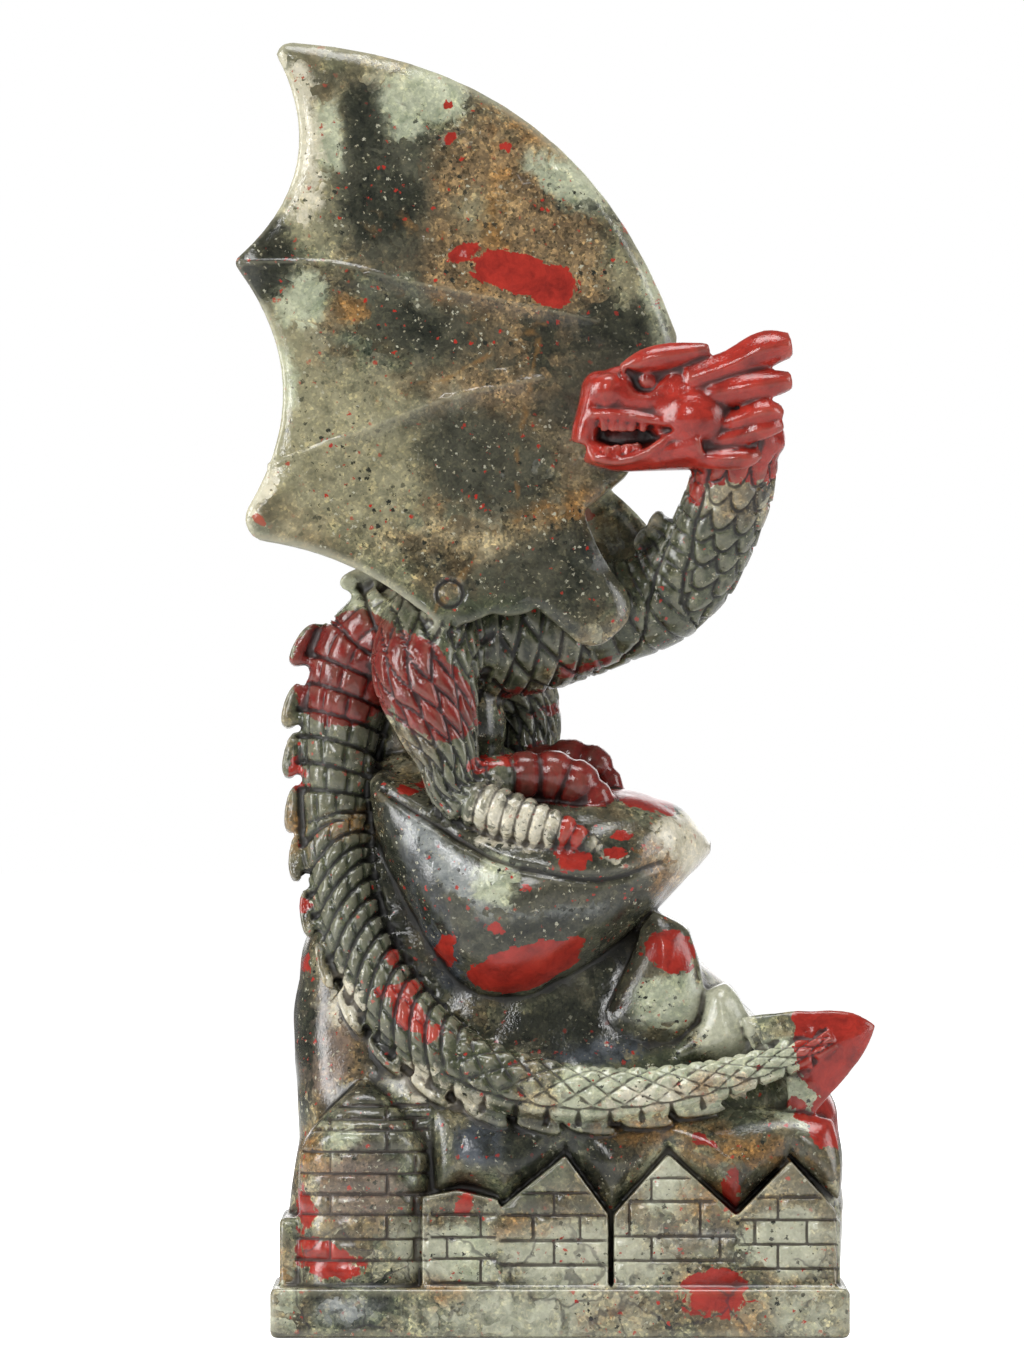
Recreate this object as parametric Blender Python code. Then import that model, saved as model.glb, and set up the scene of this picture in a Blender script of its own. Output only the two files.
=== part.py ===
"""A dragon carved from one block of stone, standing on a rock above a small walled town.

The figure is drawn in millimetres at its nominal height and placed by at(), so its pose
follows the statue's height. X runs from the wings' trailing side to the tail's tip, -Y is
the carved front, and the origin is the middle of the flat underside.
"""

import math

import bmesh
import bpy
import numpy as np
from mathutils import Matrix, Vector

# Driving sizes, in metres
STATUE_HEIGHT = 0.203
PLINTH_WIDTH = 0.0905
PLINTH_DEPTH = 0.050
PLINTH_HEIGHT = 0.0078
CASTLE_LEDGE = 0.0016     # step from the plinth's front edge back to the town wall
CASTLE_RELIEF = 0.0090    # how deep the town wall runs back into the rock
WING_RIM = 0.0042         # thickness of a wing at its leading edge
WING_SKIN = 0.0024        # thickness of a wing between its fingers
CREST_THICKNESS = 0.0028
CARVING_DEPTH = 0.0008    # how far a scale's tip or a band stands over the next one

# The drawing of the figure, in millimetres above the ground at its nominal height
DRAWN_HEIGHT = 203.0
DRAWN_PLINTH = 7.8
DRAWN_HALF_WIDTH = 45.25
FIGURE_UNIT = (STATUE_HEIGHT - PLINTH_HEIGHT) / (DRAWN_HEIGHT - DRAWN_PLINTH)
PLINTH_UNIT = PLINTH_WIDTH / 2 / DRAWN_HALF_WIDTH
CASTLE_FRONT = -PLINTH_DEPTH / 2 + CASTLE_LEDGE

# How finely the block is worked
VOXEL = 0.0007
FACE_LIMIT = 9800


def at(x, y, z):
    """A point of the figure's drawing, in metres."""
    return Vector((x * FIGURE_UNIT, y * FIGURE_UNIT, PLINTH_HEIGHT + (z - DRAWN_PLINTH) * FIGURE_UNIT))


def smooth_rows(rows, steps):
    """Rows of numbers, read from a Catmull-Rom curve through the given ones."""
    points = np.array(rows, float)
    padded = np.vstack([2 * points[0] - points[1], points, 2 * points[-1] - points[-2]])
    made = []
    for i in range(len(points) - 1):
        a, b, c, d = padded[i : i + 4]
        for k in range(steps):
            t = k / steps
            made.append(0.5 * (2 * b + (c - a) * t + (2 * a - 5 * b + 4 * c - d) * t**2
                               + (3 * b - a - 3 * c + d) * t**3))
    made.append(points[-1])
    return np.array(made)


def ring(bm, centre, across, deep, half_across, half_deep, sides, power=2.0):
    """A closed loop of vertices: an ellipse, squarer as power rises."""
    verts = []
    for k in range(sides):
        angle = 2 * math.pi * k / sides
        c, s = math.cos(angle), math.sin(angle)
        c = math.copysign(abs(c) ** (2 / power), c)
        s = math.copysign(abs(s) ** (2 / power), s)
        verts.append(bm.verts.new(centre + across * (c * half_across) + deep * (s * half_deep)))
    return verts


def close_shell(bm, rings):
    """Joins rings in order and caps both ends."""
    for low, high in zip(rings, rings[1:]):
        for k in range(len(low)):
            n = (k + 1) % len(low)
            bm.faces.new((low[k], low[n], high[n], high[k]))
    bm.faces.new(rings[0][::-1])
    bm.faces.new(rings[-1])


class Track:
    """A smooth path through rows of (x, y, z, radius) or (x, y, z, radius across, radius in depth)."""

    def __init__(self, rows, steps=6):
        path = smooth_rows([row if len(row) == 5 else (*row, row[3]) for row in rows], steps)
        self.points = path[:, :3]
        self.radii = path[:, 3:]
        tangents = np.gradient(self.points, axis=0)
        self.tangents = tangents / np.linalg.norm(tangents, axis=1)[:, None]
        deep = np.array([0.0, 1.0, 0.0]) - self.tangents * self.tangents[:, 1:2]
        self.deep = deep / np.linalg.norm(deep, axis=1)[:, None]
        self.across = np.cross(self.deep, self.tangents)
        gaps = np.linalg.norm(np.diff(self.points, axis=0), axis=1)
        self.along = np.concatenate([[0.0], np.cumsum(gaps)])

    def measure(self, places):
        """Where places lie: length along, share of the radius, and angle round, 0 facing the front."""
        nearest = np.empty(len(places), int)
        for start in range(0, len(places), 4000):
            gaps = places[start : start + 4000, None] - self.points[None]
            nearest[start : start + 4000] = np.argmin((gaps**2).sum(2), axis=1)
        offset = places - self.points[nearest]
        along = self.along[nearest] + (offset * self.tangents[nearest]).sum(1)
        across = (offset * self.across[nearest]).sum(1) / self.radii[nearest, 0]
        deep = (offset * self.deep[nearest]).sum(1) / self.radii[nearest, 1]
        return along, np.hypot(across, deep), np.arctan2(across, -deep)


def limb(bm, rows, sides=18, steps=6):
    """A round limb along a track."""
    track = Track(rows, steps)
    rings = []
    for point, across, deep, radii in zip(track.points, track.across, track.deep, track.radii):
        rings.append(ring(bm, at(*point), Vector(across), Vector(deep), *(radii * FIGURE_UNIT), sides))
    close_shell(bm, rings)


def boulder(bm, rows, sides=28, steps=4, power=2.6, vertical=True):
    """A rock lofted through rows of (position, low, high, front, back).

    Position is the height and low to high the width if vertical; otherwise position is
    across the statue and low to high the height.
    """
    rings = []
    for position, low, high, front, back in smooth_rows(rows, steps):
        middle, half = (low + high) / 2, (high - low) / 2
        y, half_y = (front + back) / 2, (back - front) / 2
        centre = at(middle, y, position) if vertical else at(position, y, middle)
        across = Vector((1, 0, 0)) if vertical else Vector((0, 0, 1))
        rings.append(ring(bm, centre, across, Vector((0, 1, 0)), half * FIGURE_UNIT,
                          half_y * FIGURE_UNIT, sides, power))
    close_shell(bm, rings)


def lump(bm, centre, radii, lean=0.0):
    """A rounded lump, leaning by degrees about the depth axis."""
    scale = Matrix.Diagonal([r * FIGURE_UNIT for r in radii]).to_4x4()
    turn = Matrix.Rotation(math.radians(lean), 4, "Y")
    bmesh.ops.create_icosphere(bm, subdivisions=3, radius=1.0,
                               matrix=Matrix.Translation(at(*centre)) @ turn @ scale)


def arc_outline(corners, steps=10):
    """An outline from corners (x, z, bulge): each side is an arc that stands out by bulge."""
    outline = []
    for i, (x, z, bulge) in enumerate(corners):
        nx, nz, _ = corners[(i + 1) % len(corners)]
        dx, dz = nx - x, nz - z
        length = math.hypot(dx, dz)
        count = steps if abs(bulge) > 0.05 else 1
        for k in range(count):
            t = k / count
            stand = bulge * 4 * t * (1 - t)
            outline.append((x + dx * t + stand * -dz / length, z + dz * t + stand * dx / length))
    return outline


def nearest_edge(points, outline):
    """How far each point lies from a closed outline."""
    best = np.full(len(points), 1e9)
    for a, b in zip(outline, np.roll(outline, -1, axis=0)):
        side = b - a
        share = np.clip(((points - a) @ side) / max(side @ side, 1e-12), 0, 1)
        best = np.minimum(best, np.linalg.norm(points - (a + share[:, None] * side), axis=1))
    return best


def slab(bm, outline, spacing, faces_at):
    """A plate cut to an outline, gridded, and shaped by faces_at(points, distance from the edge).

    faces_at returns the depth of the front and of the back at each point.
    """
    plate = bmesh.new()
    plate.faces.new([plate.verts.new((x, 0, z)) for x, z in outline])
    low, high = np.min(outline, axis=0), np.max(outline, axis=0)
    for axis, normal in ((0, (1, 0, 0)), (1, (0, 0, 1))):
        for place in np.arange(low[axis] + spacing / 2, high[axis], spacing):
            bmesh.ops.bisect_plane(plate, geom=plate.verts[:] + plate.edges[:] + plate.faces[:],
                                   plane_co=Vector(normal) * place, plane_no=normal)
    bmesh.ops.triangulate(plate, faces=plate.faces[:])
    front = plate.verts[:]
    made = bmesh.ops.extrude_face_region(plate, geom=plate.faces[:] + plate.edges[:] + plate.verts[:])
    back = [v for v in made["geom"] if isinstance(v, bmesh.types.BMVert)]
    for verts, which in ((front, 0), (back, 1)):
        flat = np.array([(v.co.x, v.co.z) for v in verts])
        depth = faces_at(flat, nearest_edge(flat, np.array(outline)))[which]
        for vert, y in zip(verts, depth):
            vert.co = at(vert.co.x, y, vert.co.z)
    add_shell(bm, plate)


def add_shell(bm, shell):
    """Moves a closed shell's faces into bm, facing out."""
    bmesh.ops.recalc_face_normals(shell, faces=shell.faces[:])
    holder = bpy.data.meshes.new("shell")
    shell.to_mesh(holder)
    bm.from_mesh(holder)
    bpy.data.meshes.remove(holder)
    shell.free()


def wing_depth(x, z):
    """How far a wing's middle stands from the dragon's own middle plane."""
    return 11.6 - 0.164 * (z - 112) + 0.176 * (10 - x) - 0.0009 * (x + 15) ** 2


WING_CORNERS = (
    (-44.5, 201.0, 0.6),     # top tip
    (-42.0, 202.9, 12.6),    # leading edge
    (18.5, 156.8, 1.8),
    (10.2, 134.5, 0.0),
    (3.8, 129.2, -0.8),      # armpit, behind the head
    (10.3, 117.0, 1.6),      # shoulder lobe
    (8.6, 109.8, 1.0),
    (3.0, 108.4, 0.0),
    (-3.6, 114.0, 0.8),
    (-10.5, 113.1, 0.0),
    (-17.2, 110.4, 0.9),
    (-19.8, 111.8, -2.4),    # lower edge
    (-47.6, 124.8, 0.9),     # lower tip
    (-48.8, 129.6, -6.4),
    (-50.8, 167.6, 0.3),     # middle tip
    (-50.2, 169.2, -6.2),
)
FAR_ROOT = (                 # the far wing's root, seen between the neck and the near wing
    (0.0, 136.0, 0.0),
    (8.2, 132.6, 0.4),
    (15.7, 124.7, 0.0),
    (12.0, 116.0, 0.0),
    (0.0, 114.0, 0.0),
)
FINGERS = (                  # each wing finger as (x, z) points from the shoulder to its tip
    ((8, 118), (17, 148), (6, 177), (-20, 194), (-43, 201)),
    ((8, 118), (14, 146), (6, 158), (-9.4, 162.3), (-25, 165.4), (-50.5, 168)),
    ((8, 118), (5, 140), (-3, 149), (-17.2, 146.6), (-33.7, 140.3), (-48, 128.5)),
)


PLATE_GRID = 2.0             # spacing of the points that shape a wing
FINGER_RISE = 0.7            # how far a finger stands out of each side of a wing
FINGER_WIDTH = 2.2
RIM_FROM, RIM_OVER = 128, 45  # x + z where a wing starts to thicken towards its leading edge, and over how far
ROOT_PLACE = (4, 114)        # x, z of the swelling where a wing grows from the shoulder
ROOT_RISE, ROOT_WIDTH = 1.6, 9.5
EDGE_WIDTH = 2.4             # border over which a wing thins to its edge
EDGE_SHARE = 0.45            # share of the thickness that is left at the edge itself
FAR_ROOT_BACK = 6.5          # how far back the far wing's root stands
FAR_ROOT_HALF = (0.7, 1.0)   # half its thickness at the edge, and what the middle has more


def wing(bm, side):
    """One wing, thick along its leading edge and hollowed between its fingers."""
    outline = arc_outline(WING_CORNERS)
    fingers = [smooth_rows(finger, 6) for finger in FINGERS]

    def faces_at(points, edge):
        x, z = points[:, 0], points[:, 1]
        middle = wing_depth(x, z)
        finger = np.min([nearest_edge(points, np.vstack([f, f[::-1]])) for f in fingers], axis=0)
        skin, rim = WING_SKIN / FIGURE_UNIT / 2, WING_RIM / FIGURE_UNIT / 2
        half = skin + (rim - skin) * np.clip((x + z - RIM_FROM) / RIM_OVER, 0, 1)
        half += FINGER_RISE * np.exp(-((finger / FINGER_WIDTH) ** 2))
        half += ROOT_RISE * np.exp(-(np.hypot(x - ROOT_PLACE[0], z - ROOT_PLACE[1]) / ROOT_WIDTH) ** 2)
        half *= EDGE_SHARE + (1 - EDGE_SHARE) * np.sqrt(np.clip(edge / EDGE_WIDTH, 0, 1))
        return side * middle - half, side * middle + half

    slab(bm, outline, PLATE_GRID, faces_at)


def far_root(bm):
    """The root of the far wing, whose edge runs on to the neck."""

    def faces_at(points, edge):
        middle = FAR_ROOT_BACK + 0.25 * (133 - points[:, 1]) - 0.2 * (points[:, 0] - 8)
        half = FAR_ROOT_HALF[0] + FAR_ROOT_HALF[1] * np.sqrt(np.clip(edge / EDGE_WIDTH, 0, 1))
        return middle - half, middle + half

    slab(bm, arc_outline(FAR_ROOT, 4), PLATE_GRID, faces_at)


BODY = (                     # x, y, z, radius, from the neck's root to the tail's root
    (11.0, 0, 113.6, 7.8),
    (4.7, 0, 112.6, 9.2),
    (-4.7, 0, 110.6, 10.3),
    (-14.1, 0, 109.8, 10.6),
    (-23.5, 0, 109.6, 9.4),
    (-31.0, 0, 108.8, 7.2),
)
NECK = (
    (5.0, 0, 113.2, 8.4),
    (12.0, -1, 114.2, 7.9),
    (17.5, -2, 116.8, 7.6),
    (21.6, -4, 121.0, 7.3),
    (24.4, -6.5, 126.2, 7.0),
    (26.5, -9.5, 131.4, 6.9),
    (27.6, -12, 136.6, 6.8),
    (26.5, -14, 141.5, 6.6),
)
TAIL = (
    (-25.0, 0, 111.5, 8.0),
    (-31.0, 0, 107.4, 7.2),
    (-33.6, -1, 99.6, 6.7),
    (-34.8, -2.5, 90.2, 5.9),
    (-35.1, -4, 80.8, 5.4),
    (-34.3, -7, 71.3, 5.2),
    (-31.7, -10, 61.9, 5.2),
    (-27.0, -13, 53.3, 5.4),
    (-20.4, -16, 46.3, 5.5),
    (-11.8, -18.4, 41.2, 5.3),
    (-2.4, -19.4, 38.7, 4.9),
    (7.8, -19.8, 37.9, 4.4),
    (18.8, -19.6, 39.0, 3.8),
    (28.2, -18.6, 41.2, 3.1),
    (36.9, -17.2, 44.1, 2.5),
    (42.5, -16, 46.5, 1.8),
)
ARROW_GRID = 1.6
ARROW_Y = -16.0              # depth of the arrow's middle at x 30, and how much it turns back with x
ARROW_TURN = 0.12
ARROW_HALF = (0.5, 2.6)      # half the arrow's thickness at its edge, and what its middle has more
ARROW = (
    (28.4, 49.8, 0.6), (44.5, 50.8, 0.5), (49.6, 48.6, 0.5), (46.0, 42.0, 0.3),
    (38.2, 33.4, 0.5), (35.6, 35.0, 0.0), (35.2, 42.2, 0.0), (30.0, 45.0, 0.0),
)
NEAR_THIGH = (
    (-19.0, -5.0, 111.5, 9.0),
    (-21.0, -10.5, 104.3, 8.8),
    (-19.6, -13.0, 97.2, 7.2),
    (-17.8, -14.5, 91.0, 5.4),
    (-17.0, -15.5, 86.0, 4.1),
    (-14.5, -16.5, 82.8, 3.8),
)
FAR_THIGH = (
    (-13.0, 5.0, 111.0, 9.0),
    (-9.0, 10.5, 104.8, 7.8),
    (-5.4, 11.5, 98.0, 5.8),
    (-5.2, 10.5, 92.0, 5.2),
    (-5.5, 9.5, 87.0, 4.2),
)
TOES = (
    ((-16.5, -16.5, 84.5, 3.4), (-9.5, -18.2, 82.2, 3.8), (-3.2, -19.2, 80.2, 3.3),
     (1.6, -19.6, 78.8, 2.3), (6.0, -19.8, 76.4, 0.8)),
    ((-15.5, -13.5, 86.5, 3.3), (-7.0, -11.5, 87.8, 3.6), (0.0, -10.5, 87.6, 3.9),
     (4.7, -10.5, 84.6, 3.5), (8.2, -10.5, 80.0, 1.2)),
    ((-8.0, 5.0, 87.5, 3.0), (0.8, 3.0, 90.4, 3.0), (6.0, 2.0, 89.0, 2.8), (9.8, 1.5, 83.6, 1.0)),
    ((-8.0, 10.0, 87.0, 3.2), (0.0, 11.5, 88.0, 3.2), (5.5, 12.0, 85.6, 2.6), (8.8, 12.0, 80.5, 0.9)),
)
LEFT_STANDING = (            # centre and radii of the stone between the legs, and before the tail's root
    ((-14.0, 0.0, 96.0), (5.6, 6.5, 11.0)),
    ((-25.0, 4.5, 94.0), (6.0, 6.0, 9.0)),
)
CREST_PITCH = 7.8            # from one crest plate to the next down the tail
CREST_END = 124.0            # length of tail that carries crest plates
CREST_HEIGHT = 3.3           # of the first plate; each next one is lower by CREST_LOSS
CREST_LOSS = 0.13
NECK_CREST = (16.5, 21.5)    # where plates stand on the neck's inner side


def crest_plate(bm, track, length, height, reach, side=1):
    """One plate of the crest: a rounded tooth that leans down the track, on the side its bend leaves."""
    i = int(np.argmin(abs(track.along - length)))
    along, out, deep = (Vector(a[i]) for a in (track.tangents, track.across * side, track.deep))
    root = at(*track.points[i]) + out * (track.radii[i, 0] * FIGURE_UNIT)
    profile = ((-0.5, -0.8), (-0.5, 0.3), (-0.3, 0.75), (0.05, 1.0), (0.38, 0.95), (0.46, 0.55), (0.36, -0.8))
    loops = []
    for y in (-CREST_THICKNESS / 2, CREST_THICKNESS / 2):
        loops.append([bm.verts.new(root + along * (a * reach * FIGURE_UNIT)
                                   + out * (h * height * FIGURE_UNIT) + deep * y) for a, h in profile])
    close_shell(bm, loops)


def tail(bm):
    """The tail, its crest and the arrow at its end."""
    limb(bm, TAIL, sides=20, steps=8)
    track = Track(TAIL, 12)
    for k in range(int(CREST_END / CREST_PITCH) + 1):
        crest_plate(bm, track, 2.0 + k * CREST_PITCH, CREST_HEIGHT - CREST_LOSS * k, CREST_PITCH)

    def faces_at(points, edge):
        middle = ARROW_Y + ARROW_TURN * (points[:, 0] - 30)
        half = ARROW_HALF[0] + ARROW_HALF[1] * np.clip(edge / 6.5, 0, 1) ** 0.8
        return middle - half, middle + half

    slab(bm, arc_outline(ARROW, 5), ARROW_GRID, faces_at)


def neck(bm):
    """The neck and the crest plates at its root."""
    limb(bm, NECK, sides=24)
    track = Track(NECK, 12)
    for length in NECK_CREST:
        crest_plate(bm, track, length, 2.8, 5.0, side=-1)


def legs(bm):
    """Both legs with the toes that grip the rock, and the stone left standing between them."""
    limb(bm, NEAR_THIGH)
    limb(bm, FAR_THIGH)
    for rows in TOES:
        limb(bm, rows, sides=12)
    for centre, radii in LEFT_STANDING:
        lump(bm, centre, radii)


def lock(bm, rows, flat=0.75):
    """A swept-back lock or horn, flattened in depth."""
    limb(bm, [(x, y, z, r, r * flat) for x, y, z, r in rows], sides=12, steps=5)


HEAD_Y = -14.5
LOCKS = (                    # x, z and radius at four places along each lock, and its lift outward
    ((20.0, 149.6, 2.4), (26.5, 151.8, 2.6), (32.0, 154.4, 3.0), (36.2, 155.2, 2.0), 0.0),
    ((21.0, 147.0, 2.2), (27.0, 148.0, 2.6), (32.0, 148.9, 2.4), (36.2, 149.6, 1.5), 0.8),
    ((23.0, 141.8, 1.6), (28.0, 143.2, 1.8), (32.0, 144.6, 1.9), (34.6, 144.4, 1.4), 1.8),
    ((22.0, 139.8, 1.8), (27.0, 140.6, 1.6), (31.5, 141.8, 1.7), (34.8, 142.6, 1.1), 1.6),
    ((20.0, 137.8, 1.8), (24.5, 137.2, 1.8), (28.5, 137.3, 1.8), (31.4, 138.0, 1.0), 1.4),
)
UPPER_TEETH = (6.9, 8.3, 9.7, 11.3, 13.0)   # x of each tooth
LOWER_TEETH = (7.4, 8.9, 10.5, 12.1)
TOOTH = (1.0, 1.6, 1.8)
TEETH_Y = 3.4                # how far each row of teeth stands from the head's middle plane
BROW_Y = 4.4                 # the same for the brows and locks
POCKET_Y = 6.6               # and for the hollows of the mouth


def head(bm):
    """The head: skull, snout, open jaws, brows, eyes and the locks swept back from the cheeks."""
    face = bmesh.new()
    pockets = bmesh.new()
    lump(face, (21.0, HEAD_Y, 145.0), (9.0, 6.6, 7.6), 10)
    lock(face, ((22.0, HEAD_Y, 147.6, 6.2), (14.0, HEAD_Y, 147.4, 5.2), (8.6, HEAD_Y, 146.9, 4.7),
                (5.4, HEAD_Y, 145.6, 3.2)), 0.95)
    lump(face, (6.2, HEAD_Y, 147.8), (3.0, 4.8, 3.4))
    lock(face, ((5.6, HEAD_Y, 148.2, 2.3), (5.1, HEAD_Y, 145.0, 2.4), (4.2, HEAD_Y, 142.0, 2.3),
                (3.8, HEAD_Y, 139.6, 2.2)), 1.7)
    lock(face, ((22.0, HEAD_Y, 139.8, 4.4), (15.0, HEAD_Y, 138.0, 2.6), (8.6, HEAD_Y, 137.7, 2.3),
                (4.2, HEAD_Y, 138.9, 2.2)), 1.8)
    lump(face, (29.2, HEAD_Y, 140.4), (6.2, 5.6, 5.4))
    for side in (-1, 1):
        brow = HEAD_Y + side * BROW_Y
        lump(face, (21.0, HEAD_Y + side * 2.6, 143.6), (5.7, 5.3, 5.2))
        lock(face, ((9.6, brow - side * 0.6, 151.0, 1.2), (13.5, brow, 152.8, 1.9),
                    (18.0, brow, 153.6, 2.0), (23.4, brow + side * 0.4, 154.6, 0.9)))
        for a, b, c, d, lift in LOCKS:
            rows = []
            for (x, z, radius), share in ((a, -0.6), (b, 0.6), (c, 1.0), (d, 0.4)):
                rows.append((x, brow + side * share * (0.4 + lift), z, radius))
            lock(face, rows)
        pocket = HEAD_Y + side * POCKET_Y
        limb(pockets, [(17.6, pocket, 142.0, 0.3, 2.4), (15.2, pocket, 141.3, 1.2, 2.8),
                       (12.2, pocket, 140.6, 2.2, 3.1), (9.2, pocket, 140.3, 2.6, 3.1),
                       (7.0, pocket, 140.3, 2.1, 2.6)], sides=12)
        lump(pockets, (13.0, HEAD_Y + side * 5.8, 149.3), (2.5, 2.8, 1.9), -20)
        lump(bm, (12.9, HEAD_Y + side * 3.2, 149.2), (1.6, 1.2, 1.3))
    lump(bm, (10.5, HEAD_Y, 140.4), (6.0, 2.4, 3.2))
    carve(bm, face, pockets)
    for side in (-1, 1):
        for row, z in ((UPPER_TEETH, 142.6), (LOWER_TEETH, 138.7)):
            for x in row:
                size = Matrix.Diagonal([s * FIGURE_UNIT for s in TOOTH]).to_4x4()
                place = Matrix.Translation(at(x, HEAD_Y + side * TEETH_Y, z))
                bmesh.ops.create_cube(bm, size=1.0, matrix=place @ size)


def carve(bm, solid, cutter):
    """Adds solid to bm with cutter taken out of it; both are shells that may cross themselves."""
    made = []
    for shell in (solid, cutter):
        bmesh.ops.recalc_face_normals(shell, faces=shell.faces[:])
        mesh = bpy.data.meshes.new("carving")
        shell.to_mesh(mesh)
        shell.free()
        piece = bpy.data.objects.new("carving", mesh)
        bpy.context.scene.collection.objects.link(piece)
        remesh = piece.modifiers.new("Fuse", "REMESH")
        remesh.mode = "VOXEL"
        remesh.voxel_size = VOXEL * 0.7
        made.append(piece)
    cut = made[0].modifiers.new("Carve", "BOOLEAN")
    cut.operation = "DIFFERENCE"
    cut.object = made[1]
    graph = bpy.context.evaluated_depsgraph_get()
    result = bpy.data.meshes.new_from_object(made[0].evaluated_get(graph))
    bm.from_mesh(result)
    for piece in made:
        bpy.data.objects.remove(piece)


HILL = (                     # height, low x, high x, front, back
    (6.5, -43.5, 44.0, -17, 22.5), (18.8, -42.8, 44.6, -18, 22.5), (30.0, -41.2, 44.2, -18, 22),
    (38.0, -41.4, 42.4, -17, 21.5), (46.0, -41.9, 34.0, -14, 20.5), (54.0, -41.4, 27.0, -12, 19),
    (62.0, -39.8, 18.0, -11, 17.5), (70.0, -36.0, 6.0, -10, 16.5), (79.0, -33.0, 2.0, -8, 15),
    (87.0, -31.0, -2.0, -6, 12.5), (92.0, -28.0, -8.0, -1, 8.5),
)
LEDGE = (                    # x, low z, high z, front, back
    (-30.0, 83.0, 89.0, -7, 6), (-27.0, 72.0, 88.6, -13, 11), (-20.0, 59.0, 86.8, -18.5, 15),
    (-14.0, 52.0, 85.6, -20.5, 17), (-6.3, 51.0, 85.0, -21.5, 18), (0.0, 54.0, 85.4, -21.5, 18),
    (6.3, 58.0, 85.8, -20.5, 17.5), (12.5, 63.4, 85.2, -18, 15.5), (18.0, 69.4, 83.2, -14, 11.5),
    (21.6, 73.0, 80.4, -9.5, 6.5), (23.8, 75.6, 77.4, -4, 0.5),
)
WAVE = (                     # height, low x, high x, front, back
    (34.0, 6.0, 41.0, -13, 16), (42.0, 7.0, 34.5, -13, 14), (49.0, 8.0, 29.4, -12, 13),
    (53.0, 8.8, 26.4, -11, 12.5), (57.0, 9.6, 23.0, -10, 12), (61.0, 10.6, 21.0, -9, 11),
    (64.0, 12.0, 19.6, -7, 9), (66.0, 13.8, 16.8, -4, 5),
)
WAVE_LEAVES = (              # outline (x, z, bulge) and depth of each leaf cut on the wave's front
    (((12.5, 63.5, 0.2), (14.9, 66.3, 0.4), (20.4, 63.5, 0.2), (22.9, 53.3, 0.2), (22.0, 50.0, 0.6),
      (16.5, 44.7, 0.8), (9.4, 46.4, 0.8), (7.0, 51.0, -0.8)), -11.0),
    (((22.6, 53.6, 0.3), (26.1, 55.2, 0.3), (29.2, 51.0, 0.3), (31.0, 47.4, 0.3), (29.0, 43.0, 0.4),
      (17.0, 42.0, 0.0), (17.4, 44.8, 0.0), (22.0, 49.0, 0.0)), -12.0),
)
LEAF_GRID = 1.6
LEAF_SWELL = 4.0             # how far a leaf's middle stands out before its edge
LEAF_BORDER = 5.0            # border over which it does so
SKIRT = (                    # the rock over the roofs, which hangs down between them: x, z, bulge
    (-20.2, 36.5, 0.6), (-6.0, 35.2, 0.8), (12.0, 34.4, 0.8), (30.0, 35.6, 0.6), (42.6, 33.6, 0.8),
    (43.6, 21.2, 0.0), (36.0, 28.7, 0.0), (27.6, 20.2, 0.0), (16.9, 29.6, 0.0), (8.0, 19.8, 0.0),
    (0.9, 29.2, 0.0), (-8.8, 21.6, 0.0), (-10.4, 23.0, -0.3), (-15.6, 24.2, 0.3), (-19.2, 23.4, 0.0),
)
SKIRT_FRONT = -18.6          # depth of the skirt's edge
SKIRT_BACK = -6.0            # depth inside the hill where it ends
SKIRT_SWELL = 3.2
SKIRT_LEAN = 0.32            # how much it leans back, from this height up
SKIRT_LEAN_FROM = 27.0


def rocks(bm):
    """The hill, the pointed ledge that the dragon grips, and the wave of rock beside it."""
    boulder(bm, HILL, power=3.6)
    boulder(bm, LEDGE, power=2.2, vertical=False)
    boulder(bm, WAVE, power=2.8)
    for outline, front in WAVE_LEAVES:
        def leaf_faces(points, edge):
            swell = LEAF_SWELL * np.clip(edge / LEAF_BORDER, 0, 1) ** 0.6
            return front - 1.0 - swell, np.zeros(len(edge))

        slab(bm, arc_outline(outline, 4), LEAF_GRID, leaf_faces)

    def skirt_faces(points, edge):
        lean = SKIRT_LEAN * np.clip(points[:, 1] - SKIRT_LEAN_FROM, 0, None)
        swell = SKIRT_SWELL * np.sqrt(np.clip(edge / LEAF_BORDER, 0, 1))
        return SKIRT_FRONT + lean - swell, np.full(len(edge), SKIRT_BACK)

    slab(bm, arc_outline(SKIRT, 4), LEAF_GRID, skirt_faces)


TOWER_X = -30.6
TOWER_HALF = 10.3
TOWER = (                    # height, and the tower's half width there as a share of TOWER_HALF
    (6, 1.0), (24, 1.0), (29, 0.97), (32.4, 0.80), (36.5, 0.44), (40.0, 0.08),
)
WALLS = (                    # outline (x, z) of the low house and of each gable
    ((-21.5, 6), (-21.5, 22), (-16, 23), (-9.6, 21.5), (-9.6, 6)),
    ((-9.3, 6), (-9.3, 20.2), (0.8, 28.4), (7.5, 19.2), (7.5, 6)),
    ((8.4, 6), (8.4, 19.2), (16.9, 28.6), (27.1, 19.4), (27.1, 6)),
    ((28.0, 6), (28.0, 19.4), (36.0, 27.6), (43.2, 19.8), (43.2, 6)),
)
SHOULDER_TOP = 18.6          # height of the stone's square shoulder behind the town
SHOULDER_SHARE = 0.97        # its width as a share of the plinth's


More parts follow.
